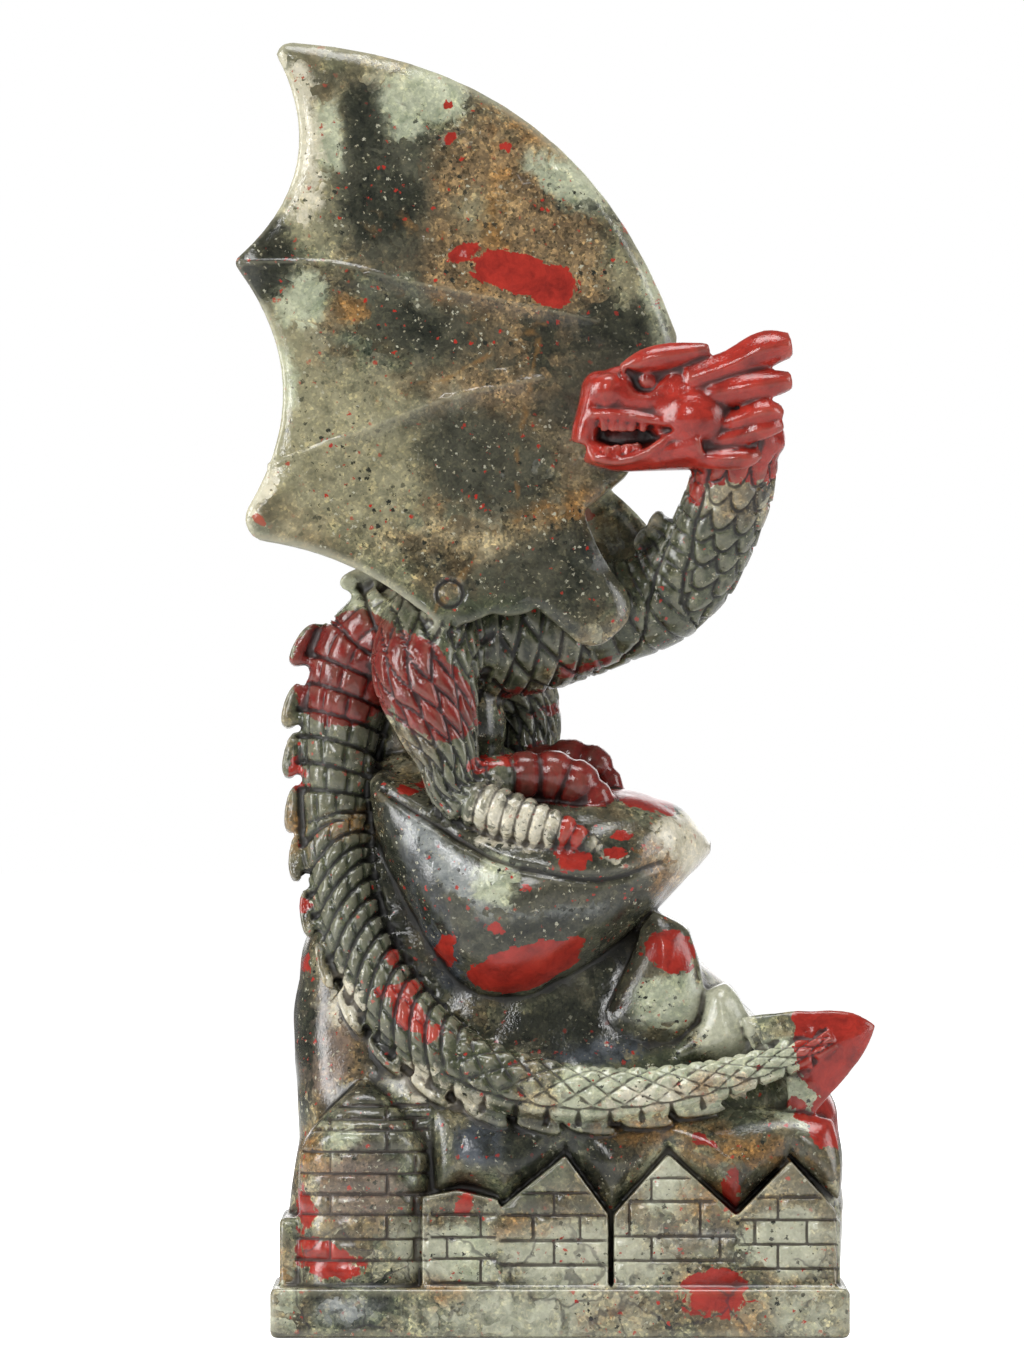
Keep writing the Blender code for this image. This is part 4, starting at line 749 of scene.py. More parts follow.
patches = {              # x, z, half width, half height and lean of every blotch; most are the stone's own colours, and the rows marked below are painted shade or painted reflection
    "red": (
        (-5.8, 166.2, 9.0, 3.3, -17), (-1.0, 164.6, 3.7, 3.5, -10), (-14.6, 169.8, 2.8, 1.6, 25),
        (-37.6, 201.5, 0.6, 0.6, 0), (-42.0, 197.1, 0.6, 0.5, 0), (-17.6, 193.3, 0.6, 0.6, 0),
        (-17.1, 187.8, 0.8, 0.8, 0), (-8.5, 186.4, 0.8, 0.6, 0), (16.8, 162.6, 1.3, 0.6, 10),
        (10.5, 174.5, 0.6, 1.1, 0), (-46.9, 127.9, 1.3, 0.9, 0), (-44.0, 131.5, 0.7, 0.5, 0),
        (-12.4, 89.4, 1.7, 1.1, 20), (-8.3, 90.2, 1.4, 1.1, 0), (13.2, 84.2, 5.0, 2.0, -15),
        (1.9, 74.2, 3.4, 2.2, 0), (9.7, 78.4, 2.0, 0.9, 0), (8.2, 75.6, 1.9, 1.1, 0),
        (-5.5, 70.2, 0.9, 0.8, 0), (-9.7, 64.0, 2.0, 1.3, 15), (-17.9, 60.4, 1.6, 2.4, 0),
        (-6.3, 56.4, 11.9, 4.6, 18, -18.6, 5.6), (-24.3, 85.5, 0.9, 0.6, 0), (-21.8, 86.2, 0.9, 0.6, 20),
        (17.1, 60.2, 4.1, 3.1, -20), (47.0, 46.5, 11.2, 10.4, 0), (-25.4, 54.1, 3.4, 1.4, 10),
        (-22.9, 49.7, 3.9, 2.2, -45), (-20.4, 47.5, 2.4, 1.9, 0), (-26.3, 59.3, 1.1, 1.4, 0),
        (-41.4, 87.2, 1.4, 3.4, 0), (-40.6, 67.6, 1.7, 1.1, 0), (-39.8, 57.9, 0.9, 1.4, 0),
        (-35.6, 12.1, 6.3, 3.6, -20), (-39.7, 19.9, 1.7, 3.8, 0), (-15.2, 20.6, 2.7, 2.6, 0),
        (24.6, 6.4, 9.0, 5.8, 0), (42.0, 33.4, 3.1, 4.4, 0), (26.7, 22.0, 1.3, 5.0, 0),
        (22.0, 31.2, 1.1, 0.8, 0), (24.1, 30.1, 0.8, 0.8, 0), (30.9, 42.2, 0.8, 0.6, 0),
        (36.8, 36.5, 1.1, 0.8, 0), (38.6, 34.3, 1.4, 0.9, 0), (21.5, 132.5, 1.3, 2.5, 0),
        (20.0, 146.4, 23.0, 13.6, 6, -17.4, 9.2), (30.0, 146.5, 11.0, 13.0, 0, -14.5, 11.0),
    ),
    "maroon": (
        (-34.5, 105.0, 10.0, 9.8, 0), (-21.2, 101.4, 10.0, 6.3, -50), (3.9, 104.7, 4.7, 0.9, 14),
        (-4.7, 100.5, 3.8, 0.9, -5), (-2.0, 96.5, 2.2, 3.0, 0, -6.0, 8.0),
    ),
    "amber": (
        (-3.8, 188.8, 4.8, 2.3, -35), (-10.5, 174.0, 1.6, 9.0, -6), (-33.6, 160.7, 2.4, 2.0, 0),
        (2.0, 129.4, 7.0, 1.3, 14), (15.7, 33.2, 5.6, 1.9, 5),
        (26.7, 29.0, 7.8, 2.2, -10), (-38.7, 28.2, 2.2, 3.1, 0), (22.9, 21.2, 4.1, 3.1, 0),
        (-6.0, 17.6, 2.5, 1.1, 0), (-18.8, 7.1, 2.4, 1.3, 0), (-43.1, 11.4, 1.6, 2.2, 0),
        (7.1, 3.1, 3.1, 1.6, 0), (29.8, 2.8, 2.8, 3.1, 0), (16.0, 72.9, 2.4, 3.8, 25),
        (-33.2, 79.8, 2.4, 1.4, 10), (-41.7, 80.4, 1.3, 3.4, 0), (22.9, 39.4, 3.0, 1.4, 5),
    ),
    "khaki": (
        (-35.0, 139.0, 16.0, 13.0, -24), (-44.0, 152.0, 6.0, 9.0, 0), (-12.4, 176.4, 2.9, 3.0, 0),
        (14.0, 163.0, 5.0, 9.0, 30), (-38.0, 176.0, 5.0, 7.0, 0),
    ),
    "smoke": (
        (-28.0, 181.0, 8.5, 15.0, 4), (9.0, 155.0, 11.0, 7.0, 0), (-2.0, 117.5, 13.0, 8.5, 25),
        (-20.0, 158.0, 14.0, 5.5, -16), (-4.0, 60.0, 26.0, 9.0, 0, -20.0, 14.0), (-12.0, 31.0, 10.0, 4.5, 0),
        (-9.0, 74.0, 24.0, 14.0, -14, -20.0, 14.0), (8.0, 70.0, 12.0, 8.0, 10, -20.0, 14.0), (-12.0, 137.0, 12.0, 8.0, -30), (4.0, 146.0, 8.0, 6.0, 0),
        (34.0, 28.0, 9.0, 5.0, 0), (-44.0, 52.0, 6.0, 14.0, 0),
        (-29.0, 66.0, 5.0, 16.0, 8), (6.0, 49.0, 14.0, 5.0, 8),
    ),
    "pale": (
        (-4.0, 3.6, 25.0, 6.0, 0), (38.0, 3.8, 12.0, 5.4, 0), (-46.0, 4.0, 4.0, 5.0, 0),
        (4.0, 12.5, 19.0, 7.6, 0), (17.0, 24.0, 5.6, 6.0, 0), (36.0, 15.0, 9.0, 8.0, 0),
        (-21.0, 13.5, 7.0, 5.5, 0), (25.5, 49.5, 5.0, 6.5, 15),
    ),
    "cream": (
        (-41.2, 188.0, 3.4, 12.4, 4), (-47.7, 130.9, 2.4, 5.9, -20),
        (20.0, 76.2, 6.0, 6.0, 0), (2.4, 77.9, 3.1, 1.3, -30),
        (16.5, 38.1, 11.9, 2.4, 8), (-34.5, 52.1, 3.1, 4.2, 20, -15.0, 5.0), (-22.6, 40.3, 3.8, 2.8, -35),
        (-15.2, 37.2, 3.8, 2.2, -20), (-2.0, 189.6, 3.0, 0.7, -37),
    ),
    "olive": (
        (-14.0, 108.0, 15.0, 8.0, 0), (-13.0, 88.0, 7.0, 9.0, 0),
        (18.0, 40.0, 24.0, 7.0, 0, -6.0, 12.0),
    ),
    "green": (
        (-15.0, 13.0, 5.5, 7.0, 0), (34.0, 14.0, 8.0, 5.0, 0), (-20.0, 195.0, 6.0, 5.0, -20),
        (1.6, 181.6, 8.6, 4.2, -40), (-24.5, 193.2, 4.6, 5.4, 0), (15.7, 163.9, 2.8, 7.8, 0),
        (-36.8, 188.0, 2.8, 6.0, 0), (-9.9, 71.3, 3.8, 4.1, 0), (16.9, 52.5, 6.3, 3.8, 15),
        (16.3, 23.7, 4.4, 6.0, 0), (38.4, 38.0, 4.2, 5.6, -30, -17.0, 7.0), (-34.5, 30.6, 3.4, 2.5, 30),
        (-42.3, 7.1, 2.8, 6.3, 0), (-32.9, 116.5, 3.4, 2.5, 0), (-40.8, 162.3, 4.7, 4.1, 0),
        (-45.5, 149.7, 4.1, 6.3, 0),
    ),
    "dark": (
        (-48.6, 168.6, 7.0, 7.4, 0), (-30.6, 190.0, 3.2, 7.0, 8), (-27.4, 177.4, 6.2, 5.8, 5),
        (-22.2, 158.6, 4.8, 2.3, -22), (-2.7, 155.7, 3.4, 4.5, 0), (9.0, 158.8, 6.6, 4.1, 0),
        # (-27.0, 76.0) in the groove between tail and ledge, and (1.9, 48.8) and (7.2, 53.3) under the ledge, are
        # painted shade
        (5.0, 176.4, 4.2, 0.8, -10), (2.5, 118.4, 2.2, 6.6, -20), (-27.0, 76.0, 2.5, 20.4, 6),
        (1.9, 48.8, 10.0, 4.1, 10), (7.2, 53.3, 2.2, 7.2, 0), (-4.7, 29.0, 6.3, 3.8, -10),
        (6.3, 27.1, 6.9, 4.1, 0), (-31.0, 36.5, 4.4, 2.8, 0), (-4.9, 88.9, 2.4, 2.5, 0),
        (-12.5, 96.1, 2.2, 3.4, 0), (-9.4, 109.0, 4.7, 1.6, -20), (-28.2, 44.7, 2.2, 4.1, -30),
        (-40.8, 44.7, 2.2, 9.4, 0), (7.5, 30.5, 7.0, 3.4, 0), (29.0, 25.5, 3.0, 4.0, 0),
        (-26.5, 31.0, 2.6, 4.6, 0), (-2.0, 84.5, 14.0, 1.6, -8, -22.0, 9.0),
        (-5.0, 63.5, 11.0, 2.2, 8, -20.0, 10.0), (6.0, 76.0, 6.0, 2.0, 12, -20.0, 10.0),
        (-21.0, 68.0, 2.4, 8.0, 24, -20.0, 10.0), (10.0, 67.0, 5.0, 1.8, 28, -20.0, 10.0),
    ),
    "umber": (
        (-31.4, 24.0, 8.0, 8.4, 0), (-38.0, 45.0, 5.0, 8.0, 0), (-30.0, 62.0, 3.0, 6.0, 20),
        (0.0, 70.0, 6.0, 3.0, -8, -20.0, 12.0),
    ),
    "slate": (
        (-12.3, 29.8, 5.4, 4.0, 0), (-20.0, 66.0, 2.6, 13.0, 20), (6.0, 45.0, 8.0, 2.4, 4),
    ),
    "brown": (
        (-6.0, 168.0, 16.0, 26.0, 8), (-33.2, 43.6, 4.1, 4.4, 0),
        (-19.1, 45.0, 3.6, 2.2, 0), (12.5, 29.0, 3.8, 4.1, 0), (15.7, 14.9, 4.7, 2.2, 0),
    ),
    "grey": (
        (-31.7, 62.7, 4.1, 3.0, 0), (-33.6, 4.4, 6.6, 3.1, 0),
        # (-18.5, 74.5) and (0.0, 66.0) are painted reflection: pale streaks of sheen across the ledge's front
        (-18.5, 74.5, 13.0, 3.0, -42), (0.0, 66.0, 10.0, 0.9, 6), (21.2, 15.4, 6.3, 1.9, 0), (8.2, 123.9, 2.5, 5.3, -50),
    ),
}
stoneLines = (           # hair lines of amber in the wing: points (x, z)
    ((-8, 171), (-3.4, 160), (-4.4, 150), (-6.4, 140), (-6.8, 131)),
    ((-1.2, 158.8), (-4.6, 158.2), (-8.0, 156.4)),
    ((8, 131.6), (-2, 129.6), (-10.5, 125), (-16, 118), (-20, 113)),
    ((-3.6, 157.6), (-10, 154.4), (-18, 149.6), (-23, 149)),
)
onLimbs = {              # blotches that keep to one limb: between two lengths along it
    "red": ((dragon["toes"][0], 18.0, 22.0),),
    "maroon": ((dragon["toes"][1], 8.0, 30.0), (dragon["toes"][2], 4.0, 30.0)),
    "cream": ((dragon["toes"][0], 4.0, 16.5), (dragon["toes"][0], 22.5, 30.0)),
    "olive": ((dragon["neck"], -4.0, 31.0), (dragon["tail"], 14.0, 92.0)),
    "green": ((dragon["tail"], 98.0, 160.0),),
}


def averaged(values, ends, counts):
    total = np.zeros_like(values)
    for a, b in ((0, 1), (1, 0)):
        for k in range(values.shape[1]):
            total[:, k] += np.bincount(ends[:, a], weights=values[ends[:, b], k], minlength=len(values))
    return total / counts[:, None]


def markHollows(mesh):
    # how far the skin lies below its own average: + in grooves, - on ridges, near and far
    ends = np.empty(len(mesh.edges) * 2, int)
    mesh.edges.foreach_get("vertices", ends)
    ends = ends.reshape(-1, 2)
    counts = np.maximum(np.bincount(ends.ravel(), minlength=len(mesh.vertices)), 1)
    places, normals = readVerts(mesh), readVerts(mesh, "normal")
    spread, done = places.copy(), 0
    # in the stone's colour the fine mark darkens grooves with dirt and painted shade, and the broad one gives painted
    # shade in hollows and between parts
    for name, rounds in (("fineHollow", 6), ("broadHollow", 60)):
        while done < rounds:
            spread, done = averaged(spread, ends, counts), done + 1
        mark = mesh.attributes.new(name, "FLOAT", "POINT")
        mark.data.foreach_set("value", ((spread - places) * normals).sum(1))


def patchField(places, rows):
    # distance in millimetres outside the nearest blotch, less than zero inside it
    field = np.full(len(places), 60.0)
    for x, z, halfX, halfZ, lean, *depth in rows:
        y, halfY = depth or (-12.0, 15.0)
        c, s = math.cos(math.radians(lean)), math.sin(math.radians(lean))
        dx, dz = places[:, 0] - x, places[:, 2] - z
        shares = abs(np.stack([(dx * c + dz * s) / halfX, (dz * c - dx * s) / halfZ,
                               (places[:, 1] - y) / halfY]))
        share = (shares**2.3).sum(0) ** (1 / 2.3)
        field = np.minimum(field, (share - 1) * min(halfX, halfZ))
    return field


def limbField(places, rows, low, high):
    track = Track(rows, 12)
    along, share, _ = track.measure(places)
    middle, half = (low + high) / 2, (high - low) / 2
    return np.maximum((share - 1.3) * track.radii.mean(), abs(along - middle) - half)


def markColours(mesh):
    places = readVerts(mesh)
    behind = places * (-1, -1, -1) + (4, 2, 203)     # the back repeats the front's blotches upside down
    for name in [row[0] for row in stone["blotches"]]:
        field = patchField(places, patches.get(name, ()))
        field = np.minimum(field, patchField(behind, [row for row in patches.get(name, ()) if len(row) == 5]))
        for rows, low, high in onLimbs.get(name, ()):
            field = np.minimum(field, limbField(places, rows, low, high))
        mesh.attributes.new(name, "FLOAT", "POINT").data.foreach_set("value", field)
    flat = places[:, [0, 2]]
    outline = np.array(arcOutline(wings["corners"]))
    seams = [nearestLine(flat, smoothRows(points, 4), False) for points in stoneLines]
    mesh.attributes.new("seam", "FLOAT", "POINT").data.foreach_set("value", np.min(seams, axis=0))
    rim = np.where(places[:, 2] > 109, nearestLine(flat, outline), 60.0)
    rim[(places[:, 0] > -18) & (places[:, 2] < 124)] = 60.0
    rim[(places[:, 0] > 0) & (places[:, 1] < -8.2)] = 60.0
    mesh.attributes.new("rim", "FLOAT", "POINT").data.foreach_set("value", rim)
    mesh.attributes.new("inside", "FLOAT", "POINT").data.foreach_set("value", patchField(places, head["inside"]))
    mesh.attributes.new("courses", "FLOAT", "POINT").data.foreach_set("value", courseGap(places))


class Shade:
    # a shader socket that can be reckoned with like a number
    def __init__(self, tree, socket):
        self.tree, self.socket = tree, socket

    def node(self, kind, settings=None, sockets=None, output=0):
        made = self.tree.nodes.new("ShaderNode" + kind)
        for name, value in (settings or {}).items():
            if name == "stops":
                ramp = made.color_ramp
                while len(ramp.elements) < len(value):
                    ramp.elements.new(0.5)
                for element, (place, colour) in zip(ramp.elements, value):
                    element.position, element.color = place, colour
            else:
                setattr(made, name, value)
        for name, value in (sockets or {}).items():
            if isinstance(value, Shade):
                self.tree.links.new(value.socket, made.inputs[name])
            else:
                made.inputs[name].default_value = value
        return Shade(self.tree, made.outputs[output])

    def maths(self, operation, *others):
        return self.node("Math", {"operation": operation}, dict(enumerate((self, *others))))

    def __add__(self, other):
        return self.maths("ADD", other)

    def __sub__(self, other):
        return self.maths("SUBTRACT", other)

    def __rsub__(self, other):
        return self.node("Math", {"operation": "SUBTRACT"}, {0: other, 1: self})

    def __mul__(self, other):
        return self.maths("MULTIPLY", other)

    def __truediv__(self, other):
        return self.maths("DIVIDE", other)

    __radd__, __rmul__ = __add__, __mul__

    def most(self, other):
        return self.maths("MAXIMUM", other)

    def step(self, low, high):
        # 0 below low, 1 above high, smooth between; falls instead if low is above high
        falling = low > high
        made = self.node("MapRange", {"interpolation_type": "SMOOTHSTEP"},
                         {"Value": self, "From Min": min(low, high), "From Max": max(low, high)})
        return 1 - made if falling else made

    def blend(self, other, share):
        # this colour turned into another one by share
        return self.node("Mix", {"data_type": "RGBA"}, {0: share, 6: self, 7: other}, 2)

    def tint(self, other, share=1.0):
        return self.node("Mix", {"data_type": "RGBA", "blend_type": "MULTIPLY"}, {0: share, 6: self, 7: other}, 2)


def paint(red, green, blue):
    # a colour named in ordinary screen values
    made = []
    for value in (red / 255, green / 255, blue / 255):
        made.append(value / 12.92 if value <= 0.04045 else ((value + 0.055) / 1.055) ** 2.4)
    return (*made, 1.0)


stone = {
    "gloss": 0.09,
    "grooveGloss": 0.45,
    "cool": ((0.34, paint(24, 29, 24)), (0.44, paint(52, 59, 48)), (0.52, paint(84, 91, 75)),
             (0.60, paint(122, 127, 106)), (0.70, paint(170, 172, 151))),
    "warm": ((0.34, paint(44, 38, 31)), (0.46, paint(88, 78, 60)), (0.56, paint(126, 114, 90)),
             (0.68, paint(166, 156, 128))),
    "specks": (             # how many to a millimetre, size, rarity and colour
        (0.62, 0.17, 0.80, paint(160, 44, 34)), (1.0, 0.16, 0.84, paint(150, 50, 38)),
        (0.95, 0.20, 0.84, paint(168, 166, 146)), (1.5, 0.22, 0.80, paint(152, 146, 122)),
        (0.8, 0.26, 0.84, paint(40, 42, 36)), (1.3, 0.22, 0.80, paint(52, 50, 40)),
    ),
    "fragments": ((0.0, paint(36, 42, 36)), (0.3, paint(88, 80, 64)), (0.5, paint(100, 108, 92)),
                  (0.7, paint(78, 70, 54)), (1.0, paint(158, 158, 138))),
    "blotches": (           # field, deep and light colour, wobble and softness of its edge, calm inside
        ("brown", paint(68, 56, 42), paint(138, 118, 90), 3.0, 2.5, 0.0),
        ("umber", paint(58, 50, 46), paint(124, 108, 96), 1.8, 1.0, 0.5),
        ("khaki", paint(96, 94, 74), paint(154, 150, 122), 3.0, 3.5, 0.6),
        ("smoke", paint(40, 43, 37), paint(80, 80, 68), 2.8, 3.0, 0.6),
        ("grey", paint(96, 102, 104), paint(158, 162, 160), 1.2, 0.8, 0.7),
        ("olive", paint(34, 40, 30), paint(80, 86, 67), 1.4, 1.6, 0.5),
        ("green", paint(124, 134, 110), paint(192, 196, 172), 1.6, 0.8, 0.7),
        ("pale", paint(136, 140, 120), paint(184, 184, 164), 1.4, 1.2, 0.85),
        ("cream", paint(166, 160, 138), paint(222, 216, 198), 2.0, 0.7, 0.8),
        ("slate", paint(30, 34, 38), paint(86, 92, 100), 1.4, 0.9, 0.8),
        ("dark", paint(20, 24, 20), paint(54, 56, 47), 2.4, 1.5, 0.5),
        ("amber", paint(88, 70, 46), paint(150, 114, 70), 2.4, 1.8, 0.2),
        ("maroon", paint(76, 24, 20), paint(128, 42, 36), 0.9, 0.08, 0.0),
        ("red", paint(108, 29, 23), paint(166, 48, 37), 0.9, 0.08, 0.0),
    ),
}


def stoneMaterial():
    material = bpy.data.materials.new("polishedStone")
    material.use_nodes = True
    tree = material.node_tree
    shader = tree.nodes["Principled BSDF"]
    start = Shade(tree, None)
    metres = start.node("TexCoord", output="Object")
    place = start.node("VectorMath", {"operation": "SCALE"}, {0: metres, "Scale": 1000.0})

    def noise(scale, detail=4.0, rough=0.55, at=None, output="Factor"):
        made = start.node("TexNoise", {}, {"Vector": at or place, "Scale": scale, "Detail": detail,
                                           "Roughness": rough}, 0 if output == "Factor" else 1)
        return made

    def attribute(name):
        return start.node("Attribute", {"attribute_name": name}, output="Fac")

    drift = start.node("VectorMath", {"operation": "SUBTRACT"},
                       {0: noise(0.16, 3, output="Color"), 1: (0.5, 0.5, 0.5)})
    bent = start.node("VectorMath", {"operation": "MULTIPLY_ADD"},
                      {0: drift, 1: (7.0, 7.0, 7.0), 2: place})
    stirred = start.node("VectorMath", {"operation": "MULTIPLY_ADD"},
                         {0: drift, 1: (1.2, 1.2, 1.2), 2: place})
    wide, grain = noise(0.32, 5, 0.6), noise(2.2, 3, 0.6)
    cloud = noise(0.11, 7, 0.68, bent)
    cool = start.node("ValToRGB", {"stops": stone["cool"]}, {"Fac": cloud})
    warm = start.node("ValToRGB", {"stops": stone["warm"]}, {"Fac": cloud})
    colour = cool.blend(warm, noise(0.045, 3).step(0.42, 0.58))
    cells = start.node("TexVoronoi", {}, {"Vector": bent, "Scale": 0.24, "Randomness": 1.0}, "Color")
    pick = start.node("SeparateColor", {}, {"Color": cells}, 0)
    fragment = start.node("ValToRGB", {"stops": stone["fragments"]}, {"Fac": pick})
    colour = colour.blend(fragment, noise(0.2, 3).step(0.42, 0.6) * 0.75)
    angular = start.node("SeparateColor", {}, {"Color": start.node(
        "TexVoronoi", {}, {"Vector": bent, "Scale": 0.55, "Randomness": 1.0}, "Color")}, 0)
    wobble = (wide - 0.5) * 2.0 + (grain - 0.5) * 0.5 + (angular - 0.5) * 0.8
    calm = noise(0.09, 3).step(0.5, 0.62) * 0.5
    reds = []
    for name, deep, light, reach, soft, quiet in stone["blotches"]:
        mask = (attribute(name) + wobble * reach).step(soft, -soft)
        inside = start.node("ValToRGB", {"stops": ((0.3, deep), (0.66, light))},
                            {"Fac": noise(0.3, 8, 0.7, bent)})
        if name in ("maroon", "red"):
            reds.append((inside, mask))
            continue
        colour = colour.blend(inside, mask * 0.93)
        calm = calm * (1 - mask) + mask * quiet
        if name == "dark":
            pale = 1 - mask
    crumbs = start.node("TexVoronoi", {}, {"Vector": stirred, "Scale": 1.0, "Randomness": 1.0}, "Color")
    crumb = start.node("SeparateColor", {}, {"Color": crumbs}, 1)
    dust = start.node("SeparateColor", {}, {"Color": start.node(
        "TexVoronoi", {}, {"Vector": place, "Scale": 2.6, "Randomness": 1.0}, "Color")}, 1)
    grainy = colour.tint(start.node("ValToRGB", {"stops": (
        (0.0, (0.3, 0.32, 0.3, 1)), (0.3, (0.86, 0.86, 0.84, 1)), (0.7, (1.04, 1.02, 0.97, 1)),
        (1.0, (1.9, 1.8, 1.55, 1)))}, {"Fac": crumb}), 0.7)
    grainy = grainy.tint(start.node("ValToRGB", {"stops": (
        (0.0, (0.3, 0.32, 0.3, 1)), (0.22, (0.85, 0.84, 0.82, 1)), (0.72, (1.06, 1.02, 0.95, 1)),
        (1.0, (2.1, 1.95, 1.6, 1)))}, {"Fac": dust}), 0.85)
    colour = grainy.blend(colour, calm)
    seam = (attribute("seam") + (wide - 0.5) * 2.0).maths("ABSOLUTE").step(0.6, 0.05)
    colour = colour.blend(paint(140, 104, 58), seam * (0.1 + grain * 0.7))
    speckled = noise(0.05, 2).step(0.36, 0.56)
    frayed = start.node("VectorMath", {"operation": "MULTIPLY_ADD"},
                        {0: noise(1.8, 3, 0.7, output="Color"), 1: (1.3, 1.3, 1.3), 2: place})
    for scale, size, rarity, dot in stone["specks"]:
        colour = colour.blend(dot, speck(start, frayed, scale, size, rarity, speckled))
    for inside, mask in reds:
        colour = colour.blend(inside, mask)
    redMask = reds[0][1].most(reds[1][1])
    rim = attribute("rim")
    across = start.node("SeparateXYZ", {}, {"Vector": place}, 0)
    # broad pale band on the wing's trailing side: painted light shining through the thin edge
    colour = colour.blend(paint(154, 150, 118), rim.step(9.0, 1.0) * across.step(-14.0, -34.0) * pale * 0.22)
    # thin painted highlight right along the wing's edge
    colour = colour.blend(paint(186, 184, 160), rim.step(1.6, 0.1) * pale * 0.4)
    apart = start.node("SeparateXYZ", {}, {"Vector": place}, 2)
    crack = start.node("TexVoronoi", {"feature": "DISTANCE_TO_EDGE"}, {"Vector": bent, "Scale": 0.085, "Randomness": 1.0})
    veins = crack.step(0.03, 0.006) * noise(0.1, 2).step(0.42, 0.5) * (apart.step(26.0, 12.0) * 0.55 + 0.05)
    colour = colour.blend(paint(38, 34, 42), veins)
    hollow, broad = attribute("fineHollow"), attribute("broadHollow")
    inside = attribute("inside").step(0.3, -0.3)
    walls = attribute("courses").step(1.6, 0.8)
    # painted shade inside the mouth and the eye sockets
    colour = colour.tint((0.2, 0.13, 0.12, 1), inside * 0.9)
    # grooves darkened: partly dirt and wax lodged in them, partly painted shade; less so on the town's walls
    colour = colour.tint((0.14, 0.12, 0.1, 1), hollow.step(0.01, 0.15) * (0.92 - walls * 0.4))
    # painted shade over broad hollows and between parts
    colour = colour.tint((0.3, 0.28, 0.26, 1), broad.step(0.1, 0.9) * 0.75)
    # pale ridges: painted highlight, partly the pale polish of raised edges, less on red stone
    colour = colour.blend(paint(176, 172, 150), hollow.step(-0.05, -0.18) * 0.2 * (1 - redMask * 0.6))
    line = attribute("courses") + (grain - 0.5) * 0.12
    colour = colour.blend(paint(52, 42, 34), line.step(0.3, 0.12) * 0.75)
    tree.links.new(colour.socket, shader.inputs["Base Color"])
    dull = hollow.step(0.03, 0.14).most(inside)
    rough = stone["gloss"] + dull * (stone["grooveGloss"] - stone["gloss"]) + grain * 0.05
    tree.links.new(rough.socket, shader.inputs["Roughness"])
    bump = start.node("Bump", {}, {"Strength": 0.25, "Distance": 0.0002, "Height": grain + line.step(0.05, 0.34) * 3})
    tree.links.new(bump.socket, shader.inputs["Normal"])
    shader.inputs["IOR"].default_value = 1.5
    return material


def speck(start, place, scale, size, rarity, mask):
    # small round grains of another stone: scale per millimetre, rarer as rarity nears 1
    sockets = {"Vector": place, "Scale": scale, "Randomness": 1.0}
    near = start.node("TexVoronoi", {}, sockets, "Distance")
    pick = start.node("SeparateColor", {}, {"Color": start.node("TexVoronoi", {}, sockets, "Color")}, 2)
    return near.step(size + 0.06, size) * pick.step(rarity, rarity + 0.02) * mask


print("rock and town")
makeTown()
makeRock()
print("dragon")
makeDragon()
makeHead()
makeWings()
statue = makeStatue()
markColours(statue.data)
statue.name = "carvedDragon"
statue.data.transform(Matrix.Scale(mm, 4))
for polygon in statue.data.polygons:
    polygon.use_smooth = True
statue.data.materials.clear()
statue.data.materials.append(stoneMaterial())
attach(statue, "root")
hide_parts("dragon_statue")

studio = {
    "distance": 2.5,         # a long lens, far off
    "frameHeight": 0.214,    # what the picture's height takes in at the statue
    "lookAt": (-0.0075, -0.012, 0.1023),
    "air": 0.18,             # how much the white surroundings light the statue
}


def flatColour(name, colour, rough):
    material = bpy.data.materials.new(name)
    material.use_nodes = True
    shader = material.node_tree.nodes["Principled BSDF"]
    shader.inputs["Base Color"].default_value = colour
    shader.inputs["Roughness"].default_value = rough
    return material


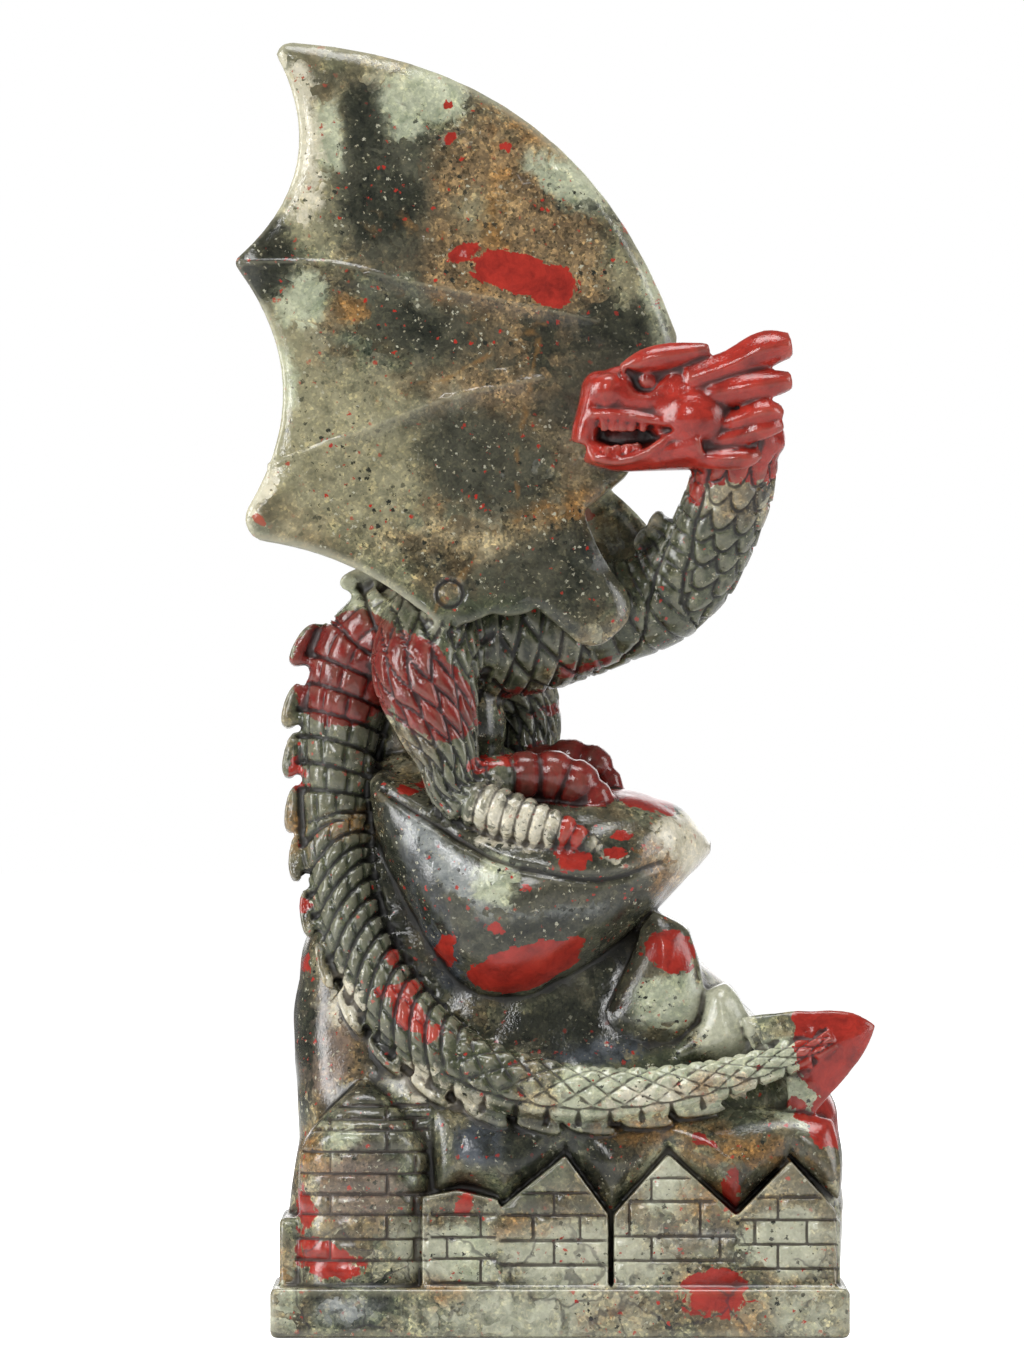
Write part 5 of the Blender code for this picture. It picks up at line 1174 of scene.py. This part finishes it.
def makeFloor():
    form = bmesh.new()
    bmesh.ops.create_grid(form, x_segments=1, y_segments=1, size=6.0)
    mesh = bpy.data.meshes.new("floor")
    form.to_mesh(mesh)
    form.free()
    pale = flatColour("paleFloor", (0.86, 0.86, 0.86, 1), 0.6)
    pale.node_tree.nodes["Principled BSDF"].inputs["Emission Color"].default_value = (1, 1, 1, 1)
    base = Shade(pale.node_tree, None)
    glow = base.node("LightPath", output="Is Camera Ray") * 0.86
    pale.node_tree.links.new(glow.socket, pale.node_tree.nodes["Principled BSDF"].inputs["Emission Strength"])
    mesh.materials.append(pale)
    floor = bpy.data.objects.new("floor", mesh)
    bpy.context.scene.collection.objects.link(floor)


def softLight(name, place, size, power, towards=(0, 0, 0.1)):
    lamp = bpy.data.lights.new(name, "AREA")
    lamp.shape, lamp.size, lamp.size_y, lamp.energy = "RECTANGLE", *size, power
    holder = bpy.data.objects.new(name, lamp)
    bpy.context.scene.collection.objects.link(holder)
    holder.location = place
    holder.rotation_euler = (Vector(towards) - Vector(place)).to_track_quat("-Z", "Y").to_euler()


def makeStudio():
    makeFloor()
    softLight("leftBox", (-0.95, -0.35, 0.45), (0.28, 0.9), 9)
    softLight("rightBox", (1.0, -0.25, 0.35), (0.4, 1.0), 6)
    softLight("topBox", (0.0, -0.2, 1.2), (0.8, 0.4), 9)
    softLight("frontFill", (-0.45, -1.4, 0.8), (0.16, 0.5), 6.5)
    softLight("backFill", (0.2, 1.4, 0.5), (1.4, 0.8), 6)
    world = bpy.data.worlds.new("studioAir")
    bpy.context.scene.world = world
    world.use_nodes = True
    air = Shade(world.node_tree, None)
    seen = air.node("LightPath", output="Is Camera Ray")
    strength = seen * (1.0 - studio["air"]) + studio["air"]
    background = world.node_tree.nodes["Background"]
    background.inputs["Color"].default_value = (1, 1, 1, 1)
    world.node_tree.links.new(strength.socket, background.inputs["Strength"])
    camera = bpy.data.cameras.new("camera")
    camera.sensor_width = 36.0
    camera.lens = 36.0 * studio["distance"] / studio["frameHeight"]
    camera.clip_end = 20.0
    holder = bpy.data.objects.new("camera", camera)
    bpy.context.scene.collection.objects.link(holder)
    holder.location = Vector(studio["lookAt"]) - Vector((0, studio["distance"], 0))
    holder.rotation_euler = (math.pi / 2, 0, 0)
    bpy.context.scene.camera = holder
    bpy.context.scene.view_settings.view_transform = "Standard"


makeStudio()
